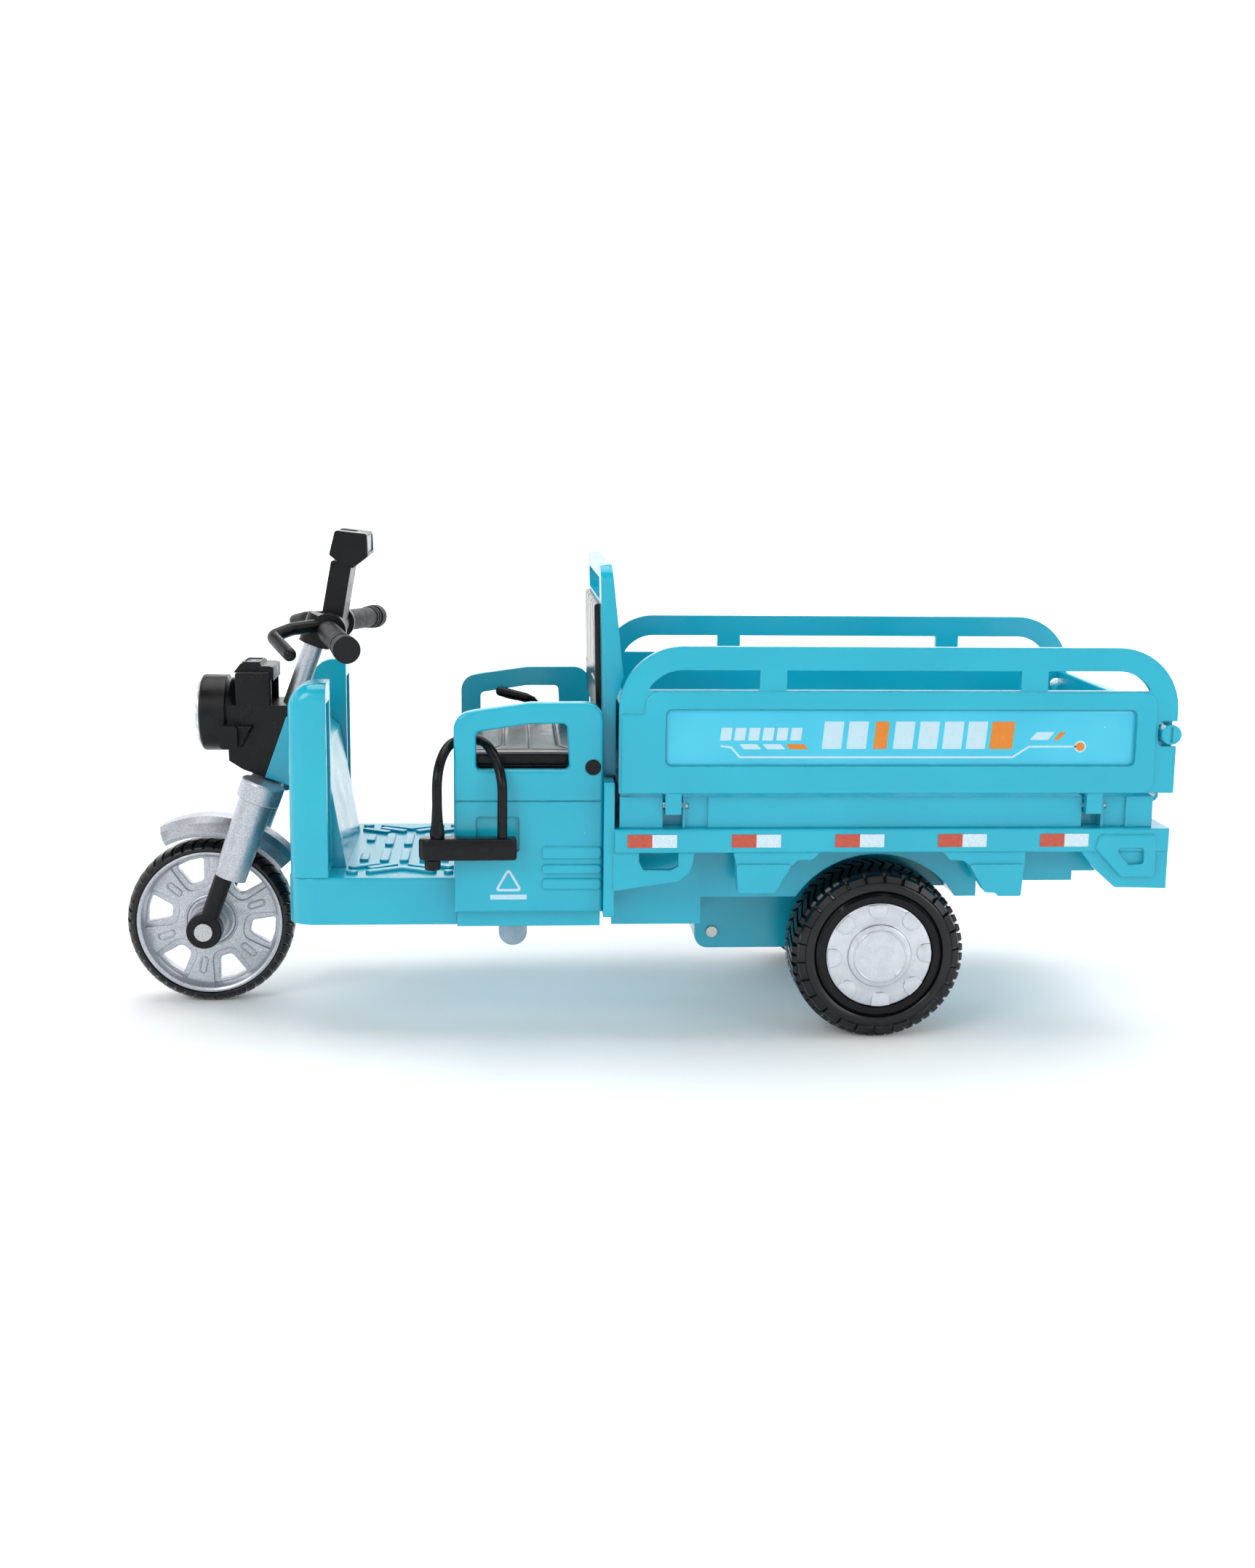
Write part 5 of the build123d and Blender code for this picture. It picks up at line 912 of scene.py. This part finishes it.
def gauge_plate():
    """Framed instrument plate on the lamp pod, with a few generic bars."""
    low, high, _ = box_mm("lamp_housing")
    frame_loops = [rounded([(-2.4, -5.6), (2.4, -5.6), (2.4, 5.6), (-2.4, 5.6)], 0.5),
                   rounded([(-1.9, -5.1), (1.9, -5.1), (1.9, 5.1), (-1.9, 5.1)], 0.3)]
    place = Matrix.Translation((low.x + 13.5, 0, high.z - 0.02))
    parts = [(plate(frame_loops, 0.35, 0.1), place)]
    made = piece("gauge_frame", parts, BLACK, "root")
    bars = [bar(-1.5, y, 3.0, 0.7) for y in (-4.2, -2.8, 2.1, 3.5)] + [bar(-0.6, -0.9, 1.2, 1.8)]
    made = piece("gauge_print", [(plate([loop], 0.08, 0.02), place) for loop in bars], PANE, "root")


def lamp_dome():
    """Domed headlamp lens with two moulded rings, filling the flat front of the drum."""
    low, high, centre = box_mm("lamp_lens")
    radius, rise = (high.z - low.z) / 2 + 0.35, high.x - low.x + 0.9
    forwards = Matrix(((0, 0, -1), (0, 1, 0), (1, 0, 0))).to_4x4()
    place = Matrix.Translation((high.x, 0, centre.z)) @ forwards
    dome = [(0.02, rise), (3.0, rise - 0.12), (3.2, rise - 0.22), (3.4, rise - 0.16), (6.0, rise - 0.55),
            (6.2, rise - 0.68), (6.4, rise - 0.62), (8.2, rise - 1.2), (radius - 0.3, rise - 1.65),
            (radius, 0.25), (radius, 0.0), (0.02, 0.0)]
    made = piece("lamp_lens_domed", [(lathe(dome, 120), place)], LENS, "root", ["lamp_lens"], smooth=40)


def turn_signal_fairings():
    """Wedge that runs back from each turn signal lug along the lamp's saddle."""
    low, high, _ = box_mm("lamp_housing")
    x, z, face = low.x + 6.2, high.z - 13.8, box_mm("steering_head")[1].y
    outline = rounded([(x, z - 7.8), (x, z - 4.6), (x + 1.8, z - 2.2), (x + 8.4, z - 2.2),
                       (x + 5.2, z - 7.8)], 0.3)
    parts = [(plate([outline], 2.4, 0.5), facing(side, 0, side * (face - 0.3), 0)) for side in (-1, 1)]
    made = piece("turn_signal_fairings", parts, BLACK, "root")


# ---------------------------------------------------------------- lock and brake lever

def tube(points, radii, around=20):
    """Round bar through smoothed points, with its own radius at each and closed, flat ends."""
    path, sizes = [], []
    count = len(points)
    for index in range(count - 1):
        p0, p1, p2, p3 = (Vector(points[min(max(index + k, 0), count - 1)]) for k in (-1, 0, 1, 2))
        for step in range(8):
            t = step / 8
            path.append(0.5 * (2 * p1 + (p2 - p0) * t + (2 * p0 - 5 * p1 + 4 * p2 - p3) * t ** 2
                               + (3 * p1 - p0 - 3 * p2 + p3) * t ** 3))
            sizes.append(radii[index] + (radii[index + 1] - radii[index]) * t)
    path.append(Vector(points[-1]))
    sizes.append(radii[-1])
    verts, faces = [], []
    side = (path[1] - path[0]).orthogonal().normalized()
    for index, point in enumerate(path):
        along = (path[min(index + 1, len(path) - 1)] - path[max(index - 1, 0)]).normalized()
        side = (side - along * side.dot(along)).normalized()
        other = along.cross(side)
        verts += [point + (side * math.cos(a) + other * math.sin(a)) * sizes[index]
                  for a in (2 * math.pi * k / around for k in range(around))]
    for ring in range(len(path) - 1):
        here, there = ring * around, (ring + 1) * around
        faces += [(here + k, here + (k + 1) % around, there + (k + 1) % around, there + k)
                  for k in range(around)]
    last = (len(path) - 1) * around
    faces += [tuple(range(around - 1, -1, -1)), tuple(range(last, last + around))]
    return new_mesh("tube", verts, faces)


def brake_grip():
    """Swollen handle on the end of the parking brake lever."""
    low, high, middle = box_mm("brake_lever")
    tip, y = high.z - 1.1, middle.y
    points = [(low.x + 0.2, y, tip), (low.x + 1.0, y, tip - 0.2), (low.x + 3.6, y, tip - 0.9),
              (low.x + 6.2, y, tip - 1.6), (low.x + 7.2, y, tip - 1.9)]
    parts = [(tube(points, [0.7, 1.35, 1.5, 1.4, 0.8]), Matrix.Identity(4))]
    made = piece("brake_lever_grip", parts, BLACK, "parking_brake", smooth=50)


def lock():
    """Toy padlock: a smooth shackle that thickens into its foot, and a rounded bar with a swollen end."""
    low, high, _ = box_mm("lock_shackle")
    bar_low, bar_high, bar_middle = box_mm("lock_bar")
    left, right, near, far = low.x + 1.3, high.x - 1.3, low.y + 1.3, high.y - 1.3
    foot, top, seat = low.z, high.z - 1.3, bar_high.z
    points = [(left, near, foot), (left, near, seat + 1.0), (left, near, seat + 3.4),
              (left, near, seat + 8), (left + 0.1, near + 0.3, top - 8.4),
              (left + 1.0, near + 3.2, top - 3.9), (left + 2.9, near + 6.6, top - 0.9),
              (left + 5.6, far, top), (right - 5.8, far, top), (right - 3.4, near + 6.6, top - 1.3),
              (right - 1.3, near + 3.2, top - 4.6), (right - 0.1, near + 0.3, top - 9.4),
              (right, near, seat + 7.5), (right, near, seat + 3.0), (right, near, foot)]
    radii = [1.3, 1.9, 1.5] + [1.25] * 11 + [1.3]
    parts = [(tube(points, radii), Matrix.Identity(4))]
    made = piece("lock_shackle_smooth", parts, GLOSS_BLACK, "lock", ["lock_shackle"], smooth=50)
    length, width, height = bar_high.x - bar_low.x, bar_high.y - bar_low.y, bar_high.z - bar_low.z
    swell = rounded([(-length / 2, -width / 2), (length / 2, -width * 0.42), (length / 2, width * 0.42),
                     (-length / 2, width / 2)], [width * 0.48, 1.1, 1.1, width * 0.48], 8)
    recess = [turned_outline(slot_outline(3.4, 1.1), 0, (-3.2 + 4.6 * k, 0)) for k in range(3)]
    parts = [(plate([swell], height, 0.8), Matrix.Translation((bar_middle.x, bar_middle.y, bar_low.z)))]
    parts += [(plate([loop], 0.4, 0.12), Matrix.Translation((bar_middle.x, bar_middle.y, bar_low.z - 0.25)))
              for loop in recess]
    made = piece("lock_bar_rounded", parts, GLOSS_BLACK, "lock_body", ["lock_bar"])


add_camera()
add_studio()
add_sweep(studio_paper())
paint_cad_nodes()
for wheel_side, wheel_sign in (("left", -1), ("right", 1)):
    rear_tyre(wheel_side, wheel_sign)
    hubcap(wheel_side, wheel_sign)
    panel_graphics(wheel_side, wheel_sign)
front_tyre()
front_rim()
seat_cushion()
back_pad()
floor_tread()
side_marks()
gauge_plate()
lamp_dome()
turn_signal_fairings()
lock()
brake_grip()
